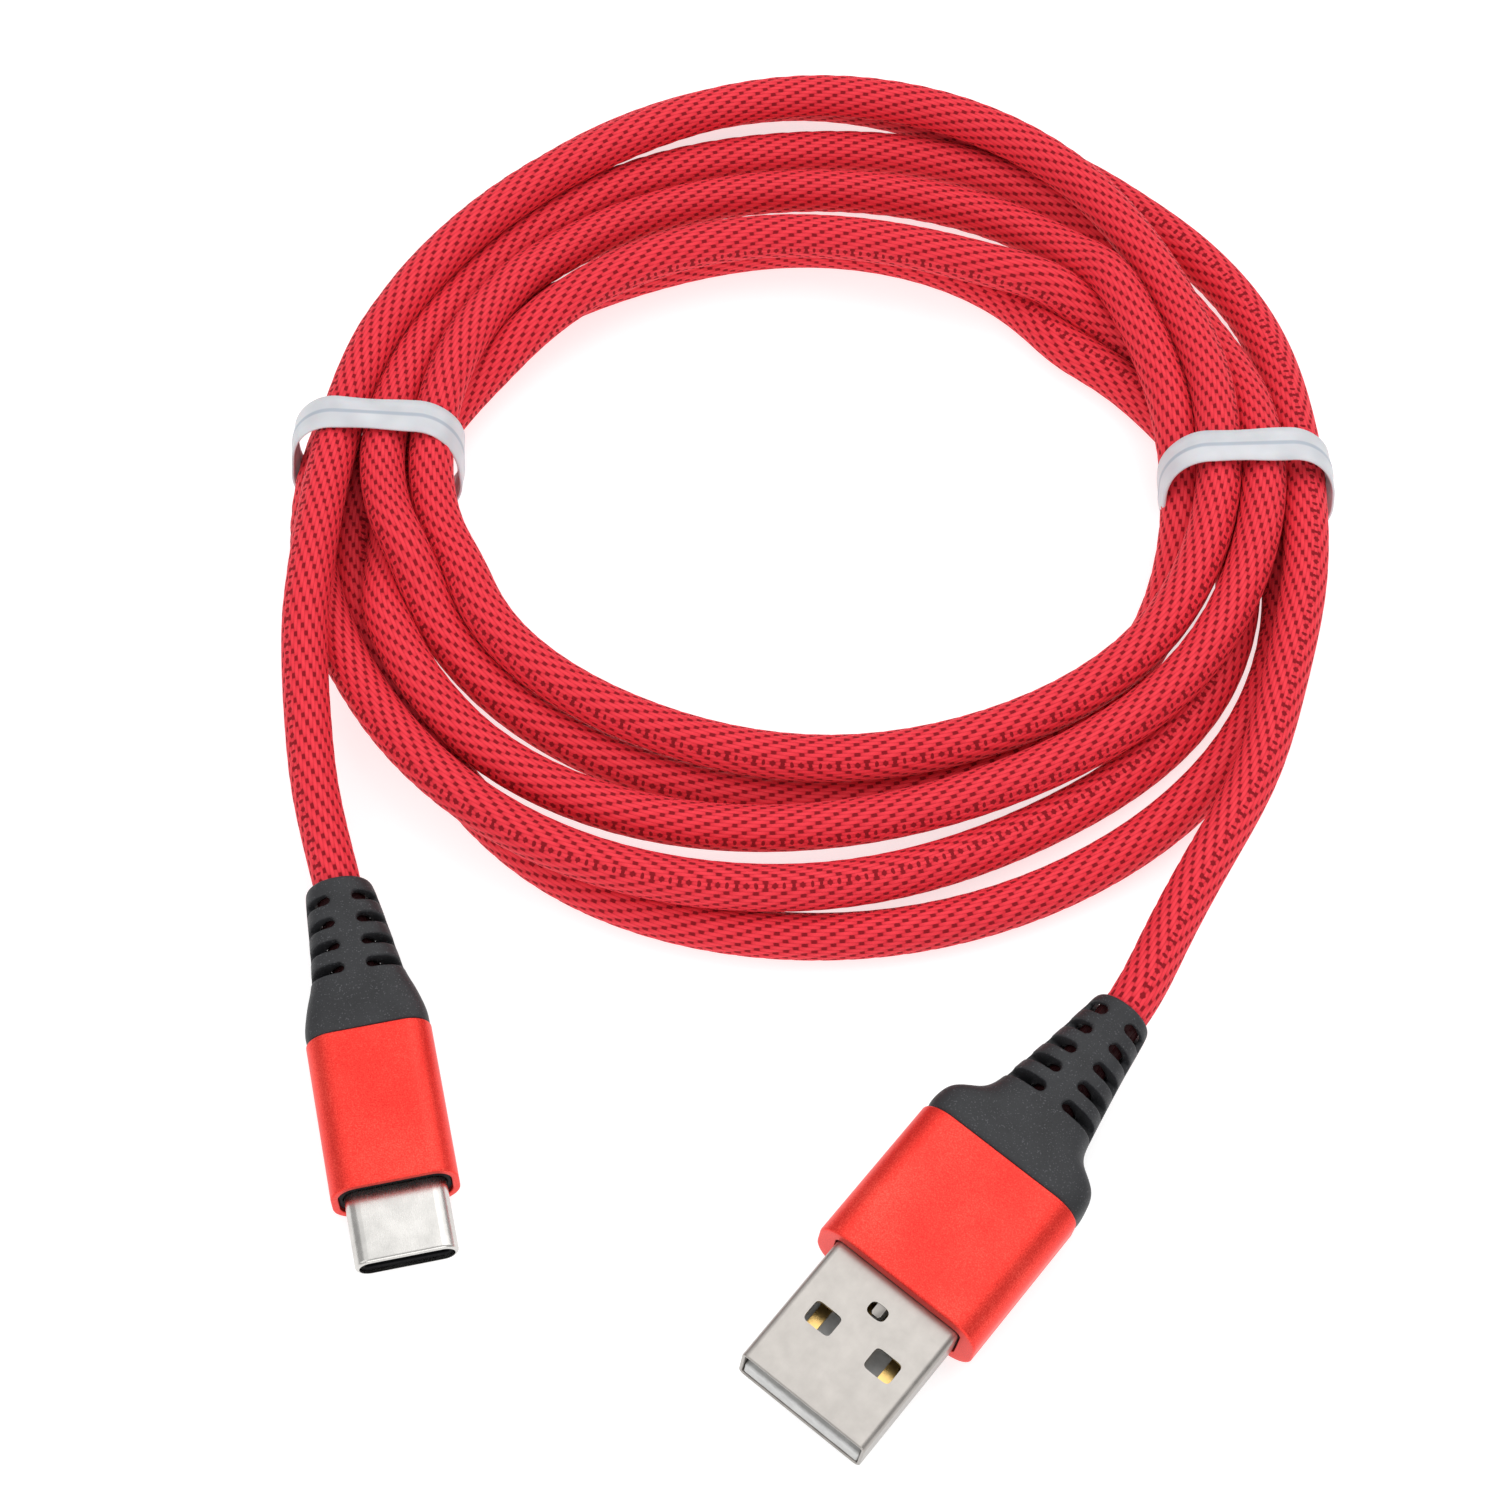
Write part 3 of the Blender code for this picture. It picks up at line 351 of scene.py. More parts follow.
def braid_finish(steps):
    """Red polyester braid on a cord that is this many steps long.

    U counts steps along the cord and V counts rows round it. Each row's stitches start one step on from the
    last row's, and the direction turns back at two seams, where the gaps open into a line of eyelets.
    """
    braid = Finish("red_braid", 0.62, Sheen_Weight=0.1, Sheen_Roughness=0.4)
    braid.shader.inputs["Sheen Tint"].default_value = (1.0, 0.2, 0.22, 1.0)
    braid.shader.inputs["Specular IOR Level"].default_value = 0.2
    along, around = uv_parts(braid)
    half = BRAID_ROWS / 2
    across = braid.math("MODULO", around, BRAID_ROWS)
    row = braid.math("FLOOR", across)
    from_seam = braid.math("MINIMUM", row, braid.math("SUBTRACT", BRAID_ROWS, row))
    wobble = braid.share(braid.noise(1.1 * MM), -STITCH_WANDER, STITCH_WANDER)
    wandered = braid.math("ADD", along, wobble)
    stitch = braid.math("DIVIDE", braid.math("ADD", wandered, from_seam), BRAID_STEPS_IN_STITCH)
    from_middle = braid.math("ABSOLUTE", braid.math("MULTIPLY_ADD", braid.math("FRACT", stitch), 2.0, -1.0))
    from_gap = braid.math("MULTIPLY", braid.math("SUBTRACT", 1.0, from_middle), BRAID_STEPS_IN_STITCH / 2)
    edge = braid.math("ABSOLUTE", braid.math("MULTIPLY_ADD", braid.math("FRACT", across), 2.0, -1.0))
    gap = braid.math("SUBTRACT", 1.0, braid.smooth_step(from_gap, *GAP_EDGES))
    gap = braid.math("MULTIPLY", gap, braid.math("SUBTRACT", 1.0, braid.math("POWER", edge, 4.0)))

    turned = braid.math("MODULO", braid.math("ADD", across, half - 0.5), BRAID_ROWS)
    near_seam = braid.math("ABSOLUTE", braid.math("SUBTRACT", turned, half))
    to_seam = braid.math("MINIMUM", near_seam, braid.math("SUBTRACT", half, near_seam))
    from_step = braid.math("ABSOLUTE", braid.math("SUBTRACT", braid.math("FRACT", wandered), 0.5))
    from_step = braid.math("SUBTRACT", 0.5, from_step)
    long_share = braid.math("POWER", braid.math("DIVIDE", from_step, EYELET[0]), 2.0)
    wide_share = braid.math("POWER", braid.math("DIVIDE", to_seam, EYELET[1]), 2.0)
    reach = braid.math("SQRT", braid.math("ADD", long_share, wide_share))
    smaller = braid.math("MULTIPLY", braid.smooth_step(from_gap, 0.5, 0.8), 0.3)
    eyelet = braid.math("SUBTRACT", 1.0, braid.smooth_step(braid.math("ADD", reach, smaller), 0.75, 1.15))
    hole = braid.math("MAXIMUM", gap, eyelet)

    crown = braid.smooth_step(from_gap, 0.2, 1.3)
    thread = braid.math("MULTIPLY_ADD", braid.math("POWER", edge, 3.0), -0.22, 0.72)
    thread = braid.math("MULTIPLY_ADD", crown, 0.28, thread)
    height = braid.math("SUBTRACT", thread, hole, clamp=True)
    # The colour follows the relief: painted shade darkens the gaps, eyelets and grooves between rows, and a
    # painted highlight lightens each stitch's raised middle.
    colour = braid.ramp(
        height,
        (0.0, 0.25, 0.006, 0.012),
        (0.3, 0.42, 0.01, 0.019),
        (0.62, 0.62, 0.018, 0.032),
        (1.0, 0.82, 0.035, 0.054),
    )
    patches = braid.share(braid.noise(4 * MM, 3.0), 0.0, 0.35)
    colour = braid.mix(braid.math("MULTIPLY", patches, height), colour, (0.97, 0.055, 0.08))
    # Painted shade: the braid is coloured almost black along the lengths inside the boots, where the slots
    # let little light in.
    painted_boot_shade = braid.math("LESS_THAN", along, BOOT_SHADE["usb_c"] / BRAID_STEP)
    far_boot_shade = braid.math("GREATER_THAN", along, steps - BOOT_SHADE["usb_a"] / BRAID_STEP)
    painted_boot_shade = braid.math("MAXIMUM", painted_boot_shade, far_boot_shade)
    braid.colour(braid.mix(painted_boot_shade, colour, (0.02, 0.001, 0.002)))
    braid.roughness(braid.share(height, 0.9, 0.55))
    braid.bump(height, 0.1 * MM)
    fibres = braid.noise(0.1 * MM, 1.0)
    braid.bump(fibres, 0.015 * MM)
    return braid.data


def anodised_finish():
    """Bead-blasted and red-anodised aluminium."""
    metal = Finish("red_anodised_aluminium", 0.4, 0.8)
    grains = metal.noise(0.11 * MM, 1.0)
    cloud = metal.noise(6 * MM, 3.0)
    shade = metal.math("ADD", metal.math("MULTIPLY", grains, 0.65), metal.math("MULTIPLY", cloud, 0.35))
    stops = (0.3, 0.66, 0.022, 0.018), (0.52, 0.85, 0.045, 0.032), (0.72, 0.96, 0.1, 0.07)
    metal.colour(metal.ramp(shade, *stops))
    metal.roughness(metal.share(grains, 0.32, 0.5))
    metal.bump(grains, 0.014 * MM)
    return metal.data


def rubber_finish():
    """Charcoal moulded rubber with a spark-eroded grain and faint dust specks."""
    rubber = Finish("charcoal_rubber", 0.55)
    rubber.shader.inputs["Specular IOR Level"].default_value = 0.4
    grain = rubber.noise(0.16 * MM, 2.0)
    base = rubber.ramp(rubber.noise(3 * MM, 3.0), (0.3, 0.014, 0.0145, 0.0165), (0.7, 0.024, 0.025, 0.028))
    speck = rubber.smooth_step(rubber.noise(0.13 * MM, 0.0), 0.66, 0.8)
    rubber.colour(rubber.mix(rubber.math("MULTIPLY", speck, 0.25), base, (0.2, 0.2, 0.22)))
    rubber.roughness(rubber.share(grain, 0.46, 0.68))
    rubber.bump(grain, 0.018 * MM)
    return rubber.data


def steel_finish(name, bright, roughness, grain_along=(1.0, 8.0, 1.0)):
    """Nickel-plated steel, faintly mottled, with fine rolling marks."""
    steel = Finish(name, roughness, 1.0)
    marks = steel.noise(0.06 * MM, 2.0, grain_along)
    mottle = steel.noise(1.6 * MM, 4.0)
    dark = tuple(0.82 * c for c in bright)
    steel.colour(steel.ramp(mottle, (0.3, *dark), (0.7, *bright)))
    blend = steel.math("ADD", steel.math("MULTIPLY", marks, 0.5), steel.math("MULTIPLY", mottle, 0.5))
    steel.roughness(steel.share(blend, roughness - 0.1, roughness + 0.12))
    steel.bump(marks, 0.0025 * MM)
    return steel.data


def tie_finish():
    """Milky plastic ribbon. V runs across it, and the wire inside shows as a soft grey-blue line."""
    ribbon = Finish("milky_ribbon", 0.38, Subsurface_Weight=0.15, Subsurface_Scale=0.5 * MM)
    along, across = uv_parts(ribbon)
    from_wire = ribbon.math("ABSOLUTE", ribbon.math("ADD", across, -0.5))
    line = ribbon.math("SUBTRACT", 1.0, ribbon.smooth_step(from_wire, 0.03, 0.08))
    milk = ribbon.ramp(ribbon.noise(2.5 * MM, 1.0), (0.3, 0.54, 0.55, 0.58), (0.7, 0.63, 0.64, 0.67))
    ribbon.colour(ribbon.mix(ribbon.math("MULTIPLY", line, 0.75), milk, (0.34, 0.39, 0.46)))
    ribbon.roughness(ribbon.share(ribbon.noise(0.8 * MM, 2.0), 0.28, 0.5))
    ribbon.bump(ribbon.noise(0.9 * MM, 2.0), 0.03 * MM)
    return ribbon.data


def plain_finish(name, colour, roughness, metallic=0.0):
    """A moulded or plated finish with slight changes of tone and a fine grain."""
    plain = Finish(name, roughness, metallic)
    tone = plain.noise(0.8 * MM, 3.0)
    dark = tuple(0.78 * c for c in colour)
    plain.colour(plain.ramp(tone, (0.3, *dark), (0.7, *colour)))
    plain.roughness(plain.share(tone, max(0.05, roughness - 0.08), roughness + 0.1))
    plain.bump(plain.noise(0.1 * MM, 2.0), 0.006 * MM)
    return plain.data


def matt_black_finish():
    """Smooth dark plastic that hardly reflects."""
    black = Finish("matt_black_plastic", 0.6)
    black.shader.inputs["Specular IOR Level"].default_value = 0.12
    tone = black.noise(1.5 * MM, 2.0)
    black.colour(black.ramp(tone, (0.3, 0.004, 0.004, 0.005), (0.7, 0.008, 0.008, 0.009)))
    return black.data


FINISHES = {
    "anodised_aluminium": anodised_finish(),
    "boot_rubber": rubber_finish(),
    "usb_a_steel": steel_finish("usb_a_satin_nickel", (0.42, 0.395, 0.37), 0.34),
    "usb_c_steel": steel_finish("usb_c_bright_nickel", (0.64, 0.625, 0.6), 0.25),
    "plain_steel": plain_finish("plain_steel", (0.5, 0.5, 0.5), 0.35, 1.0),
    "contact_gold": plain_finish("contact_gold", (0.83, 0.56, 0.2), 0.28, 1.0),
    "tie_plastic": tie_finish(),
    "white_plastic": plain_finish("grey_white_plastic", (0.58, 0.58, 0.57), 0.42),
    "black_plastic": plain_finish("black_plastic", (0.016, 0.016, 0.018), 0.35),
    "matt_black": matt_black_finish(),
    "circuit_board": plain_finish("circuit_board_green", (0.015, 0.16, 0.05), 0.4),
    "wire_red": plain_finish("wire_red", (0.6, 0.02, 0.02), 0.45),
    "wire_white": plain_finish("wire_white", (0.78, 0.78, 0.76), 0.45),
    "wire_green": plain_finish("wire_green", (0.02, 0.35, 0.06), 0.45),
    "wire_black": plain_finish("wire_black", (0.02, 0.02, 0.02), 0.45),
}


# ---------------------------------------------------------------- mesh helpers


def link_mesh(name, points, faces):
    """A new object whose closed mesh has its faces turned outwards."""
    mesh = bpy.data.meshes.new(name)
    mesh.from_pydata([tuple(p) for p in points], [], faces)
    shaped = bmesh.new()
    shaped.from_mesh(mesh)
    bmesh.ops.recalc_face_normals(shaped, faces=shaped.faces)
    shaped.to_mesh(mesh)
    shaped.free()
    made = bpy.data.objects.new(name, mesh)
    bpy.context.scene.collection.objects.link(made)
    return made


def loft(name, rings, closed=False):
    """A mesh through the rings: closed joins the last to the first, and otherwise the ends are capped."""
    count = len(rings[0])
    faces = []
    for i in range(len(rings) if closed else len(rings) - 1):
        here, there = i * count, (i + 1) % len(rings) * count
        for j in range(count):
            k = (j + 1) % count
            faces.append((here + j, here + k, there + k, there + j))
    if not closed:
        faces.append(tuple(range(count)))
        faces.append(tuple(range((len(rings) - 1) * count, len(rings) * count)))
    return link_mesh(name, [p for ring in rings for p in ring], faces)


def section(size, corner, along, middle=(0.0, 0.0)):
    """A rounded rectangle across the plug."""
    corner = min(corner, size[0] / 2, size[1] / 2)
    points = []
    for quarter in range(4):
        side = 1 if quarter in (0, 3) else -1
        level = 1 if quarter in (0, 1) else -1
        for step in range(SECTION_STEPS + 1):
            angle = math.radians(90 * (quarter + step / SECTION_STEPS))
            x = middle[0] + side * (size[0] / 2 - corner) + corner * math.cos(angle)
            z = middle[1] + level * (size[1] / 2 - corner) + corner * math.sin(angle)
            points.append(Vector((x, along, z)))
    return points


def oval(size, along, middle=(0.0, 0.0), power=2.0, segments=BOOT_SEGMENTS):
    """A superellipse across the plug: power 2 is an ellipse, and more is squarer."""
    points = []
    for i in range(segments):
        angle = 2 * math.pi * i / segments
        x = math.copysign(abs(math.cos(angle)) ** (2 / power), math.cos(angle))
        z = math.copysign(abs(math.sin(angle)) ** (2 / power), math.sin(angle))
        points.append(Vector((middle[0] + x * size[0] / 2, along, middle[1] + z * size[1] / 2)))
    return points


def rim(size, corner, along, radius, toward, hollow=False, middle=(0.0, 0.0), steps=RIM_STEPS):
    """Sections round an edge, from the side wall onto the end that looks toward +1 or -1 along the plug."""
    sections = []
    grow = -1 if hollow else 1
    for step in range(steps + 1):
        angle = math.pi / 2 * step / steps
        shrink = grow * radius * (1 - math.cos(angle))
        shift = toward * radius * (1 - math.sin(angle))
        shrunk = (size[0] - 2 * shrink, size[1] - 2 * shrink)
        sections.append(section(shrunk, corner - shrink, along - shift, middle))
    return sections


def apply_modifiers(made):
    """Makes what the modifiers show the object's own mesh."""
    graph = bpy.context.evaluated_depsgraph_get()
    shown = bpy.data.meshes.new_from_object(made.evaluated_get(graph))
    made.modifiers.clear()
    old = made.data
    made.data = shown
    bpy.data.meshes.remove(old)


def cut(target, cutter):
    """Cuts one object out of another and removes the cutter."""
    boolean = target.modifiers.new("cut", "BOOLEAN")
    boolean.object = cutter
    apply_modifiers(target)
    bpy.data.objects.remove(cutter)


def join(target, addition):
    """Joins another closed piece to an object and removes the original."""
    boolean = target.modifiers.new("join", "BOOLEAN")
    boolean.operation = "UNION"
    boolean.object = addition
    apply_modifiers(target)
    bpy.data.objects.remove(addition)


def plug_matrix(plug):
    """From a plug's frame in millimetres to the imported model's frame."""
    place = PLUG_PLACES[plug]
    turned = Euler((0.0, math.radians(place["roll"]), math.radians(place["turn"]))).to_matrix().to_4x4()
    return Matrix.Translation(place["mouth"]) @ turned @ Matrix.Scale(MM, 4)


def in_plug(plug, x, y, z):
    return plug_matrix(plug) @ Vector((x, y, z))


def fit(made, plug, finish, slot, *nodes, sharp=40):
    """Puts a piece that was modelled in millimetres in its plug, in place of CAD nodes, and finishes it."""
    place = plug_matrix(plug)
    scale = Matrix.Scale(MM, 4)
    made.data.transform(scale)
    made.matrix_world = place @ scale.inverted()
    made.data.shade_smooth()
    if sharp:
        made.data.set_sharp_from_angle(angle=math.radians(sharp))
        weighted = made.modifiers.new("even_shading", "WEIGHTED_NORMAL")
        weighted.keep_sharp = True
        weighted.weight = 100
    made.data.materials.clear()
    made.data.materials.append(FINISHES[finish])
    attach(made, BODY)
    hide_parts(*nodes)
    return made


# ---------------------------------------------------------------- the cord's route


def boot_bend(plug, along):
    """How far a boot has bent sideways and upwards at a place along its plug, in millimetres."""
    bend = BOOT_BENDS[plug]
    share = min(1.2, max(0.0, (along - bend["start"]) / (bend["end"] - bend["start"])))
    return bend["side"] * share**2, bend["lift"] * share**2


def cord_in_plug(plug, places):
    points = []
    for along in places:
        side, lift = boot_bend(plug, along)
        points.append(in_plug(plug, side, along, lift))
    return points


def on_coil(angle, out, height):
    """A point this far out from the coil's middle line, in millimetres, at an angle in degrees."""
    angle = math.radians(angle)
    a, b = COIL_RADII
    reach = a * b / math.hypot(b * math.cos(angle), a * math.sin(angle)) + out * MM
    return (COIL_CENTRE[0] + reach * math.cos(angle), COIL_CENTRE[1] + reach * math.sin(angle), height * MM)


def cord_lanes():
    """The whole cord's route from the USB-C plug to the USB-A plug, before its strands settle."""
    points = cord_in_plug("usb_c", USB_C_CORD_INSIDE) + USB_C_LEAD_ROUTE
    for number, half in enumerate(HALF_TURNS):
        start = 180 if number % 2 == 0 else 0
        points += [on_coil(start - LANE_STEP * i, *lane) for i, lane in enumerate(half)]
    points.append(on_coil(0, *LAST_LANE))
    return points + USB_A_LEAD_ROUTE + cord_in_plug("usb_a", USB_A_CORD_INSIDE)


def spline_through(knots, spacing):
    """Points about this far apart on the natural cubic spline through the knots."""
    knots = np.array([tuple(k) for k in knots], float)
    spans = np.linalg.norm(np.diff(knots, axis=0), axis=1)
    ends = np.concatenate([[0.0], np.cumsum(spans)])
    count = len(knots)
    system = np.eye(count)
    right = np.zeros_like(knots)
    for i in range(1, count - 1):
        before, after = spans[i - 1], spans[i]
        system[i, i - 1 : i + 2] = before, 2 * (before + after), after
        right[i] = 6 * ((knots[i + 1] - knots[i]) / after - (knots[i] - knots[i - 1]) / before)
    bends = np.linalg.solve(system, right)
    places = np.linspace(0, ends[-1], round(ends[-1] / spacing) + 1)
    piece = np.clip(np.searchsorted(ends, places, side="right") - 1, 0, count - 2)
    span = spans[piece][:, None]
    a = (ends[piece + 1] - places)[:, None] / span
    b = 1 - a
    curve = (a**3 - a) * bends[piece] + (b**3 - b) * bends[piece + 1]
    return a * knots[piece] + b * knots[piece + 1] + curve * span**2 / 6


def push_apart(points, skip):
    """Moves points of strands that are closer than the cord's diameter away from each other."""
    count = len(points)
    number = np.arange(count)
    apart = ((points[:, None] - points[None]) ** 2).sum(2)
    near = (apart < CORD_DIAMETER**2) & (number[None] - number[:, None] > skip)
    first, second = np.nonzero(near)
    between = points[first] - points[second]
    gap = np.linalg.norm(between, axis=1, keepdims=True)
    push = between / gap * (CORD_DIAMETER - gap) / 2 * SETTLE_PUSH
    moves = np.zeros_like(points)
    touches = np.zeros(count)
    for which, way in ((first, 1), (second, -1)):
        np.add.at(moves, which, way * push)
        np.add.at(touches, which, 1)
    return points + moves / np.maximum(touches, 1)[:, None]


def settle(lanes):
    """The strands eased off each other. Each stays near its lane and above the ground, and bends gently."""
    points = lanes.copy()
    skip = int(SETTLE_SKIP / SETTLE_SPACING)
    tightest = SETTLE_SPACING**2 / SETTLE_RADIUS
    for _ in range(SETTLE_ROUNDS):
        points -= (points - lanes) * SETTLE_PULL
        points = push_apart(points, skip)
        bend = points[:-2] - 2 * points[1:-1] + points[2:]
        size = np.linalg.norm(bend, axis=1, keepdims=True)
        points[1:-1] += bend * np.clip(size / tightest - 1, 0, 1) * SETTLE_EASE
        moved = points - lanes
        moved[1:-1] += SETTLE_BLUR * (0.25 * (moved[:-2] + moved[2:]) - 0.5 * moved[1:-1])
        points = lanes + moved
        points[:, 2] = np.maximum(points[:, 2], CORD_RADIUS)
    return points


# ---------------------------------------------------------------- the cord's braid


def braid_points(line, places):
    """The tube's points, in rings one step apart, and how many steps each ring is along the cord."""
    tangent = np.gradient(line, places, axis=0)
    tangent /= np.linalg.norm(tangent, axis=1, keepdims=True)
    up = np.array([0.0, 0.0, 1.0]) - tangent * tangent[:, 2:]
    up /= np.linalg.norm(up, axis=1, keepdims=True)
    outward = np.cross(up, tangent)

    steps = np.append(np.arange(places[-1] // BRAID_STEP), places[-1] / BRAID_STEP)
    rows = np.arange(BRAID_ROWS)
    from_seam = np.minimum(rows, BRAID_ROWS - rows)
    in_gap = (np.arange(len(steps))[:, None] + from_seam) % BRAID_STEPS_IN_STITCH == 0
    raised = np.where(in_gap, -1.0, 1.0)
    on_seam = from_seam % (BRAID_ROWS // 2) == 0
    beside, inside = SEAM_DIPS
    raised[:, on_seam] = np.where(in_gap[:, on_seam], inside, beside)

    along = steps * BRAID_STEP
    middle, up, outward = (
        np.stack([np.interp(along, places, values[:, axis]) for axis in range(3)], axis=-1)[:, None]
        for values in (line, up, outward)
    )
    seam = np.interp(along, BRAID_SEAM_PLACES, BRAID_SEAM_ANGLES)
    angle = np.radians(seam[:, None] + 360 * rows / BRAID_ROWS)[..., None]
    reach = (CORD_RADIUS + BRAID_RELIEF / 2 * (raised - 1))[..., None]
    return middle + (up * np.cos(angle) + outward * np.sin(angle)) * reach, steps


def make_cord():
    """The braided cord in one piece, from inside one plug to inside the other."""
    settled = settle(spline_through(cord_lanes(), SETTLE_SPACING))
    line = spline_through(settled, FINE_SPACING)
    places = np.concatenate([[0.0], np.cumsum(np.linalg.norm(np.diff(line, axis=0), axis=1))])
    points, steps = braid_points(line, places)
    count = len(points) * BRAID_ROWS
    here = np.arange(count).reshape(-1, BRAID_ROWS)
    there = np.roll(here, -1, axis=1)
    quads = np.stack([here[:-1], here[1:], there[1:], there[:-1]], axis=-1).reshape(-1, 4)
    caps = [tuple(here[0]), tuple(here[-1][::-1])]
    mesh = bpy.data.meshes.new("braided_cord")
    mesh.from_pydata(points.reshape(-1, 3).tolist(), [], quads.tolist() + caps)
    u = np.repeat(np.stack([steps[:-1], steps[1:], steps[1:], steps[:-1]], axis=-1), BRAID_ROWS, axis=0)
    row = np.arange(BRAID_ROWS) + 0.5
    v = np.tile(np.stack([row, row, row + 1, row + 1], axis=-1), (len(steps) - 1, 1))
    uv = np.concatenate([np.stack([u, v], axis=-1).reshape(-1, 2), np.zeros((2 * BRAID_ROWS, 2))])
    mesh.uv_layers.new(name="braid").data.foreach_set("uv", uv.astype(np.float32).ravel())
    mesh.shade_smooth()
    mesh.materials.append(braid_finish(steps[-1]))
    cord = bpy.data.objects.new("braided_cord", mesh)
    bpy.context.scene.collection.objects.link(cord)
    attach(cord, BODY)
    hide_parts("coiled_cord", "usb_a_lead", "usb_c_lead", "usb_a_cord_end", "usb_c_cord_end")
    return cord, settled


# ---------------------------------------------------------------- the ties


def tie_ribbon_section():
    """(across, depth, V) round the ribbon's section: thin edges and a thicker middle that holds the wire."""
    outer = [(-1.0, -0.2), (-0.97, -0.13), (-0.6, -0.1), (-0.3, -0.07), (-0.12, 0.0)]
    outer += [(-w, d) for w, d in reversed(outer)]
    inner = [(1.0, -0.3), (0.97, -0.36), (0.6, -0.38), (0.3, -0.42), (0.14, -0.66)]
    inner += [(-w, d) for w, d in reversed(inner)]
    return [(w * TIE_HALF_WIDTH, d * MM, (w + 1) / 2) for w, d in outer + inner]


def tie_outline():
    """(x, z, outward x, outward z, length so far) evenly round the tie's loop."""
    bottom, top = TIE_LEVELS
    half_height = (top - bottom) / 2
    middle = (top + bottom) / 2
    flat_x = TIE_HALF_SPAN - TIE_CORNER
    flat_z = half_height - TIE_CORNER
    arc = TIE_CORNER * math.pi / 2
    runs = []
    for quarter in range(4):
        side = 1 if quarter in (0, 3) else -1
        level = 1 if quarter in (0, 1) else -1
        flat = 2 * (flat_x if quarter in (0, 2) else flat_z)
        runs.append((side * flat_x, middle + level * flat_z, quarter, flat))
    total = sum(arc + run[3] for run in runs)
    outline = []
    for station in range(TIE_STATIONS):
        left = total * station / TIE_STATIONS
        for x, z, quarter, flat in runs:
            if left < arc + flat:
                break
            left -= arc + flat
        angle = math.pi / 2 * (quarter + min(1.0, left / arc))
        past = max(0.0, left - arc)
        normal = (math.cos(angle), math.sin(angle))
        x += TIE_CORNER * normal[0] - past * normal[1]
        z += TIE_CORNER * normal[1] + past * normal[0]
        outline.append((x, z, *normal))
    return outline


def make_tie(name, place, turn):
    """A twist tie's ribbon round all the strands, a little wavy along its edges."""
    angle = math.radians(place)
    middle = Vector((*COIL_CENTRE, 0.0))
    middle += Vector((TIE_CIRCLE * math.cos(angle), TIE_CIRCLE * math.sin(angle), 0.0))
    across = Vector((math.cos(math.radians(turn)), math.sin(math.radians(turn)), 0.0))
    along = Vector((-across.y, across.x, 0.0))
    up = Vector((0.0, 0.0, 1.0))
    ribbon = tie_ribbon_section()
    middle_height = sum(TIE_LEVELS) / 2
    (slow, slow_turns), (quick, quick_turns) = TIE_WAVES
    rings = []
    for station, (x, z, out_x, out_z) in enumerate(tie_outline()):
        way = 2 * math.pi * station / TIE_STATIONS
        wave = slow * math.sin(slow_turns * way + place) + quick * math.sin(quick_turns * way)
        lean = TIE_LEAN * (z - middle_height)
        ring = []
        for width, depth, _ in ribbon:
            flutter = wave * width / TIE_HALF_WIDTH
            foot = middle + across * (x + (depth + flutter) * out_x) + up * (z + (depth + flutter) * out_z)
            ring.append(foot + along * (width + lean))
        rings.append(ring)
    tie = loft(name + "_ribbon", rings, closed=True)
    count = len(ribbon)
    uv = tie.data.uv_layers.new(name="ribbon")
    for loop in tie.data.loops:
        station, j = divmod(loop.vertex_index, count)
        uv.data[loop.index].uv = (station / TIE_STATIONS, ribbon[j][2])
    tie.data.shade_smooth()
    tie.data.materials.append(FINISHES["tie_plastic"])
    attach(tie, name)
    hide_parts(name)
    return tie


# ---------------------------------------------------------------- the plugs


def cut_boot_slots(boot, plug, slots, width):
    """Round-ended slots from the boot's spine out through its sides, above and below the side rails."""
    half = slots["width"] / 2
    inner_end = []
    for step in range(SLOT_STEPS + 1):
        angle = math.pi * (0.5 + step / SLOT_STEPS)
        inner_end.append((BOOT_SPINE / 2 + half + half * math.cos(angle), half * math.sin(angle)))
    outline = inner_end + [(width, -half), (width, half)]
    for number in range(slots["count"]):
        along = slots["first"] + number * slots["pitch"]
        middle, lift = boot_bend(plug, along)
        for side in (-1, 1):
            for level in (-1, 1):
                reach = (lift + level * BOOT_RAIL, lift + level * width)
                rings = [[Vector((middle + side * x, along + y, z)) for x, y in outline] for z in reach]
                cut(boot, loft("slot", rings))


def make_boot(plug, shape):
    """A moulded rubber strain relief: flared front, tapered tail, two columns of slots, softened edges."""
    profile = spline_through(shape["profile"], BOOT_RING_SPACING)
    wide, narrow = profile[:, 1].max(), profile[-1, 1]
    start, plug_width, plug_height = shape["plug"]
    inside = (plug_width, plug_height)
    rings = [oval(inside, along, power=BOOT_SQUARENESS) for along in (start, profile[0, 0])]
    for along, width, height in profile:
        share = max(0.0, (width - narrow) / (wide - narrow)) ** SQUARENESS_FADE
        squareness = 2.0 + (BOOT_SQUARENESS - 2.0) * share
        rings.append(oval((width, height), along, boot_bend(plug, along), squareness))
    bore = (BOOT_BORE, BOOT_BORE)
    places = np.linspace(profile[-1, 0], start, BORE_RINGS)
    rings += [oval(bore, along, boot_bend(plug, along)) for along in places]
    boot = loft(plug + "_slotted_boot", rings, closed=True)
    cut_boot_slots(boot, plug, shape["slots"], wide / 2)
    remesh = boot.modifiers.new("even_mesh", "REMESH")
    remesh.mode = "VOXEL"
    remesh.voxel_size = BOOT_VOXEL
    soften = boot.modifiers.new("soft_edges", "SMOOTH")
    soften.factor = 0.5
    soften.iterations = BOOT_SOFTENING
    apply_modifiers(boot)
    return fit(boot, plug, "boot_rubber", "boot_rubber", plug + "_boot", sharp=None)


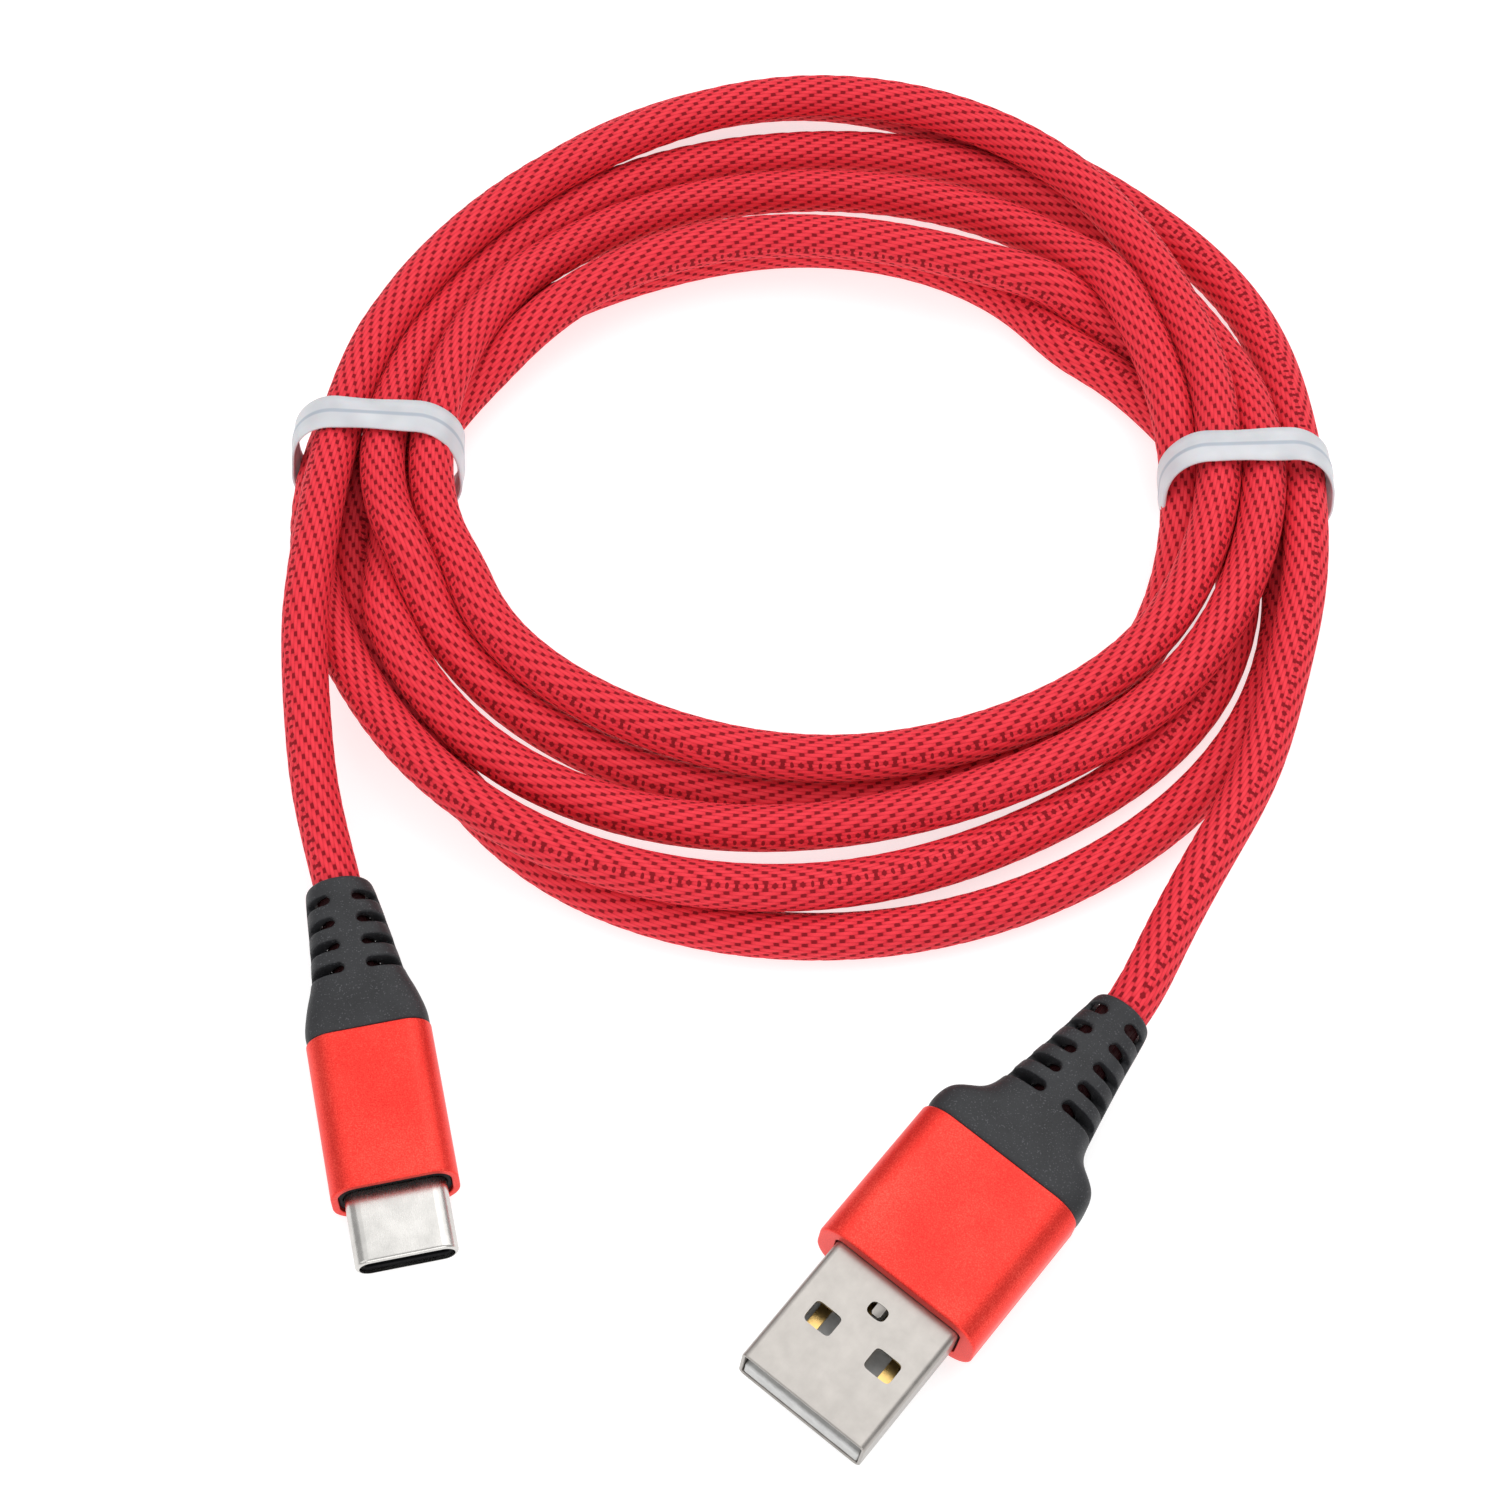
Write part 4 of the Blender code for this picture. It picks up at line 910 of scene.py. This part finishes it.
def cut_wall(shell, hole, side, level):
    """Cuts a hole through the USB-A shell's upper (+1) or lower (-1) wall, on one side of its middle."""
    middle = (side * hole["across"], hole["along"])
    outline = oval(hole["size"], 0.0, middle, hole["squareness"], hole["segments"])
    face = level * USB_A_SHELL["size"][1] / 2
    reach = (face - USB_A_CUT, face + USB_A_CUT)
    cut(shell, loft("cutter", [[Vector((p.x, p.z, z)) for p in outline] for z in reach]))


def make_usb_a_shell():
    """The formed steel shell, with two windows and a crimp tab in its top and the same in its bottom."""
    size, corner, wall = USB_A_SHELL["size"], USB_A_SHELL["corner"], USB_A_SHELL["wall"]
    end, edge = USB_A_SHELL["end"], USB_A_SHELL["edge"]
    inner = (size[0] - 2 * wall, size[1] - 2 * wall)
    rings = rim(size, corner, 0.0, edge, -1)[::-1] + rim(size, corner, end, edge, 1)
    rings += rim(inner, corner - wall, end, edge, 1, hollow=True)[::-1]
    rings += rim(inner, corner - wall, 0.0, edge, -1, hollow=True)
    shell = loft("usb_a_windowed_shell", rings, closed=True)
    for side in (-1, 1):
        for level in (-1, 1):
            cut_wall(shell, USB_A_WINDOW, side, level)
    for level in (-1, 1):
        cut_wall(shell, USB_A_TAB_HOLE, 0, level)
        levels = [level * (size[1] / 2 - depth) for depth in USB_A_LUG_DEPTHS]
        join(shell, loft("lug", [[Vector((x, y, z)) for x, y in USB_A_LUG] for z in levels]))
    bevel = shell.modifiers.new("pressed_edges", "BEVEL")
    bevel.width = USB_A_SHELL["bevel"]
    bevel.segments = 2
    bevel.limit_method = "ANGLE"
    bevel.angle_limit = math.radians(50)
    apply_modifiers(shell)
    return fit(shell, "usb_a", "usb_a_steel", "shell_steel", "usb_a_shell")


def make_usb_a_housing():
    """The anodised sleeve: a front wall close round the shell, open at the back for the boot."""
    size, corner = USB_A_HOUSING["size"], USB_A_HOUSING["corner"]
    start, end = USB_A_HOUSING["span"]
    wall = USB_A_HOUSING["wall"]
    inner = (size[0] - 2 * wall, size[1] - 2 * wall)
    mouth = USB_A_MOUTH
    front, back, back_inside = USB_A_HOUSING["edges"]
    rings = rim(size, corner, start, front, -1)[::-1] + rim(size, corner, end, back, 1)
    rings += rim(inner, corner - wall, end, back_inside, 1, hollow=True)[::-1]
    rings.append(section(inner, corner - wall, start + USB_A_HOUSING["front"]))
    rings.append(section(mouth["size"], mouth["corner"], start + USB_A_HOUSING["front"]))
    rings += rim(mouth["size"], mouth["corner"], start, mouth["edge"], -1, hollow=True)
    housing = loft("usb_a_anodised_housing", rings, closed=True)
    return fit(housing, "usb_a", "anodised_aluminium", "anodised_aluminium", "usb_a_housing")


def make_usb_a_tongue():
    """The grey-white tongue that carries the contacts, with softened edges."""
    size, corner, middle = USB_A_TONGUE["size"], USB_A_TONGUE["corner"], (0.0, USB_A_TONGUE["middle"])
    start, end = USB_A_TONGUE["span"]
    front, back = USB_A_TONGUE["edges"]
    rings = rim(size, corner, start, front, -1, middle=middle)[::-1]
    rings += rim(size, corner, end, back, 1, middle=middle)
    tongue = loft("usb_a_moulded_tongue", rings)
    return fit(tongue, "usb_a", "white_plastic", "white_plastic", "usb_a_tongue")


def make_usb_c_shell():
    """The deep-drawn stadium shell with a rolled front rim."""
    size, corner, wall = USB_C_SHELL["size"], USB_C_SHELL["corner"], USB_C_SHELL["wall"]
    end, edge = USB_C_SHELL["end"], USB_C_SHELL["edge"]
    inner = (size[0] - 2 * wall, size[1] - 2 * wall)
    turned_in = USB_C_ROLL["inwards"]
    lip = (inner[0] - 2 * turned_in, inner[1] - 2 * turned_in)
    rings = rim(size, corner, 0.0, USB_C_ROLL["radius"], -1, steps=USB_C_ROLL["steps"])[::-1]
    rings += rim(size, corner, end, edge, 1)
    rings += rim(inner, corner - wall, end, edge, 1, hollow=True)[::-1]
    rings.append(section(inner, corner - wall, USB_C_ROLL["start"]))
    rings.append(section(lip, corner - wall - turned_in, USB_C_ROLL["end"]))
    shell = loft("usb_c_stadium_shell", rings, closed=True)
    return fit(shell, "usb_c", "usb_c_steel", "shell_steel", "usb_c_shell")


def make_usb_c_sleeve(name, outer, opening, node, edge):
    """A short black sleeve with softened edges."""
    start, end = outer["span"]
    rings = rim(outer["size"], outer["corner"], start, edge, -1)[::-1]
    rings += rim(outer["size"], outer["corner"], end, edge, 1)
    rings += rim(opening["size"], opening["corner"], end, edge, 1, hollow=True)[::-1]
    rings += rim(opening["size"], opening["corner"], start, edge, -1, hollow=True)
    return fit(loft(name, rings, closed=True), "usb_c", "matt_black", "black_plastic", node)


def make_usb_c_housing():
    """The anodised sleeve, whose thin front lip stands past the black collar."""
    size, corner, wall = USB_C_HOUSING["size"], USB_C_HOUSING["corner"], USB_C_HOUSING["wall"]
    start, end = USB_C_HOUSING["span"]
    inner = (size[0] - 2 * wall, size[1] - 2 * wall)
    front, back, back_inside, front_inside = USB_C_HOUSING["edges"]
    rings = rim(size, corner, start, front, -1)[::-1] + rim(size, corner, end, back, 1)
    rings += rim(inner, corner - wall, end, back_inside, 1, hollow=True)[::-1]
    rings += rim(inner, corner - wall, start, front_inside, -1, hollow=True)
    housing = loft("usb_c_anodised_housing", rings, closed=True)
    return fit(housing, "usb_c", "anodised_aluminium", "anodised_aluminium", "usb_c_housing")


def finish_cad_nodes():
    """Gives every CAD node that still shows the material of its own kind."""
    kinds = (
        ("contact", "contact_gold"),
        ("tie_wire", "plain_steel"),
        ("latch", "plain_steel"),
        ("crimp", "plain_steel"),
        ("circuit_board", "circuit_board"),
        ("resistor", "black_plastic"),
        ("usb_a_inner_mold", "white_plastic"),
        ("usb_c_inner_mold", "black_plastic"),
        ("wire_red", "wire_red"),
        ("wire_white", "wire_white"),
        ("wire_green", "wire_green"),
        ("wire_black", "wire_black"),
    )
    for name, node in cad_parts.items():
        for word, finish in kinds:
            if word in name:
                node.data.materials.clear()
                node.data.materials.append(FINISHES[finish])
                break


# ---------------------------------------------------------------- camera, floor and light


def make_camera():
    data = bpy.data.cameras.new("camera")
    data.lens = CAMERA_LENS
    data.sensor_width = CAMERA_SENSOR
    data.clip_start = 0.01
    camera = bpy.data.objects.new("camera", data)
    camera.location = CAMERA_PLACE
    camera.rotation_euler = (math.radians(CAMERA_TILT), 0.0, 0.0)
    bpy.context.scene.collection.objects.link(camera)
    bpy.context.scene.camera = camera


def make_floor():
    """White paper that gives off a little light."""
    half = FLOOR_HALF
    corners = [(-half, -half, 0), (half, -half, 0), (half, half, 0), (-half, half, 0)]
    floor = link_mesh("floor", corners, [(0, 1, 2, 3)])
    paper = Finish("pale_paper", 0.8)
    paper.shader.inputs["Specular IOR Level"].default_value = 0.2
    paper.colour(paper.ramp(paper.noise(0.2, 2.0), (0.3, 0.5, 0.5, 0.5), (0.7, 0.52, 0.52, 0.52)))
    paper.shader.inputs["Emission Color"].default_value = (1.0, 1.0, 1.0, 1.0)
    paper.shader.inputs["Emission Strength"].default_value = FLOOR_GLOW
    floor.data.materials.append(paper.data)


def make_soft_box(name, place, width, power):
    """A square light, turned towards the middle of the frame."""
    data = bpy.data.lights.new(name, "AREA")
    data.size = width
    data.energy = power
    light = bpy.data.objects.new(name, data)
    light.location = place
    light.rotation_euler = (-Vector(place)).to_track_quat("-Z", "Y").to_euler()
    bpy.context.scene.collection.objects.link(light)


def make_lights():
    for name, (place, width, power) in SOFT_BOXES.items():
        make_soft_box(name, place, width, power)
    world = bpy.data.worlds.new("studio")
    world.use_nodes = True
    sky = world.node_tree.nodes["Background"]
    sky.inputs["Color"].default_value = (1.0, 1.0, 1.0, 1.0)
    sky.inputs["Strength"].default_value = WORLD_STRENGTH
    bpy.context.scene.world = world
    bpy.context.scene.view_settings.view_transform = "Standard"


# ---------------------------------------------------------------- everything together

make_camera()
cord, cord_line = make_cord()
for tie_name, (tie_place, tie_turn) in TIE_PLACES.items():
    make_tie(tie_name, tie_place, tie_turn)
make_usb_a_shell()
make_usb_a_tongue()
make_usb_a_housing()
make_boot("usb_a", USB_A_BOOT)
usb_c_pieces = [
    make_usb_c_shell(),
    make_usb_c_sleeve("usb_c_moulded_insulator", USB_C_INSULATOR, USB_C_SLOT, "usb_c_insulator", 0.1),
    make_usb_c_housing(),
    make_usb_c_sleeve("usb_c_moulded_collar", USB_C_COLLAR, USB_C_COLLAR_OPENING, "usb_c_collar", 0.08),
    make_boot("usb_c", USB_C_BOOT),
]
finish_cad_nodes()
usb_c_pieces += [
    node for name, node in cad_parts.items()
    if name.startswith("usb_c_") and any(word in name for word in USB_C_INSIDE)
]
make_floor()
make_lights()
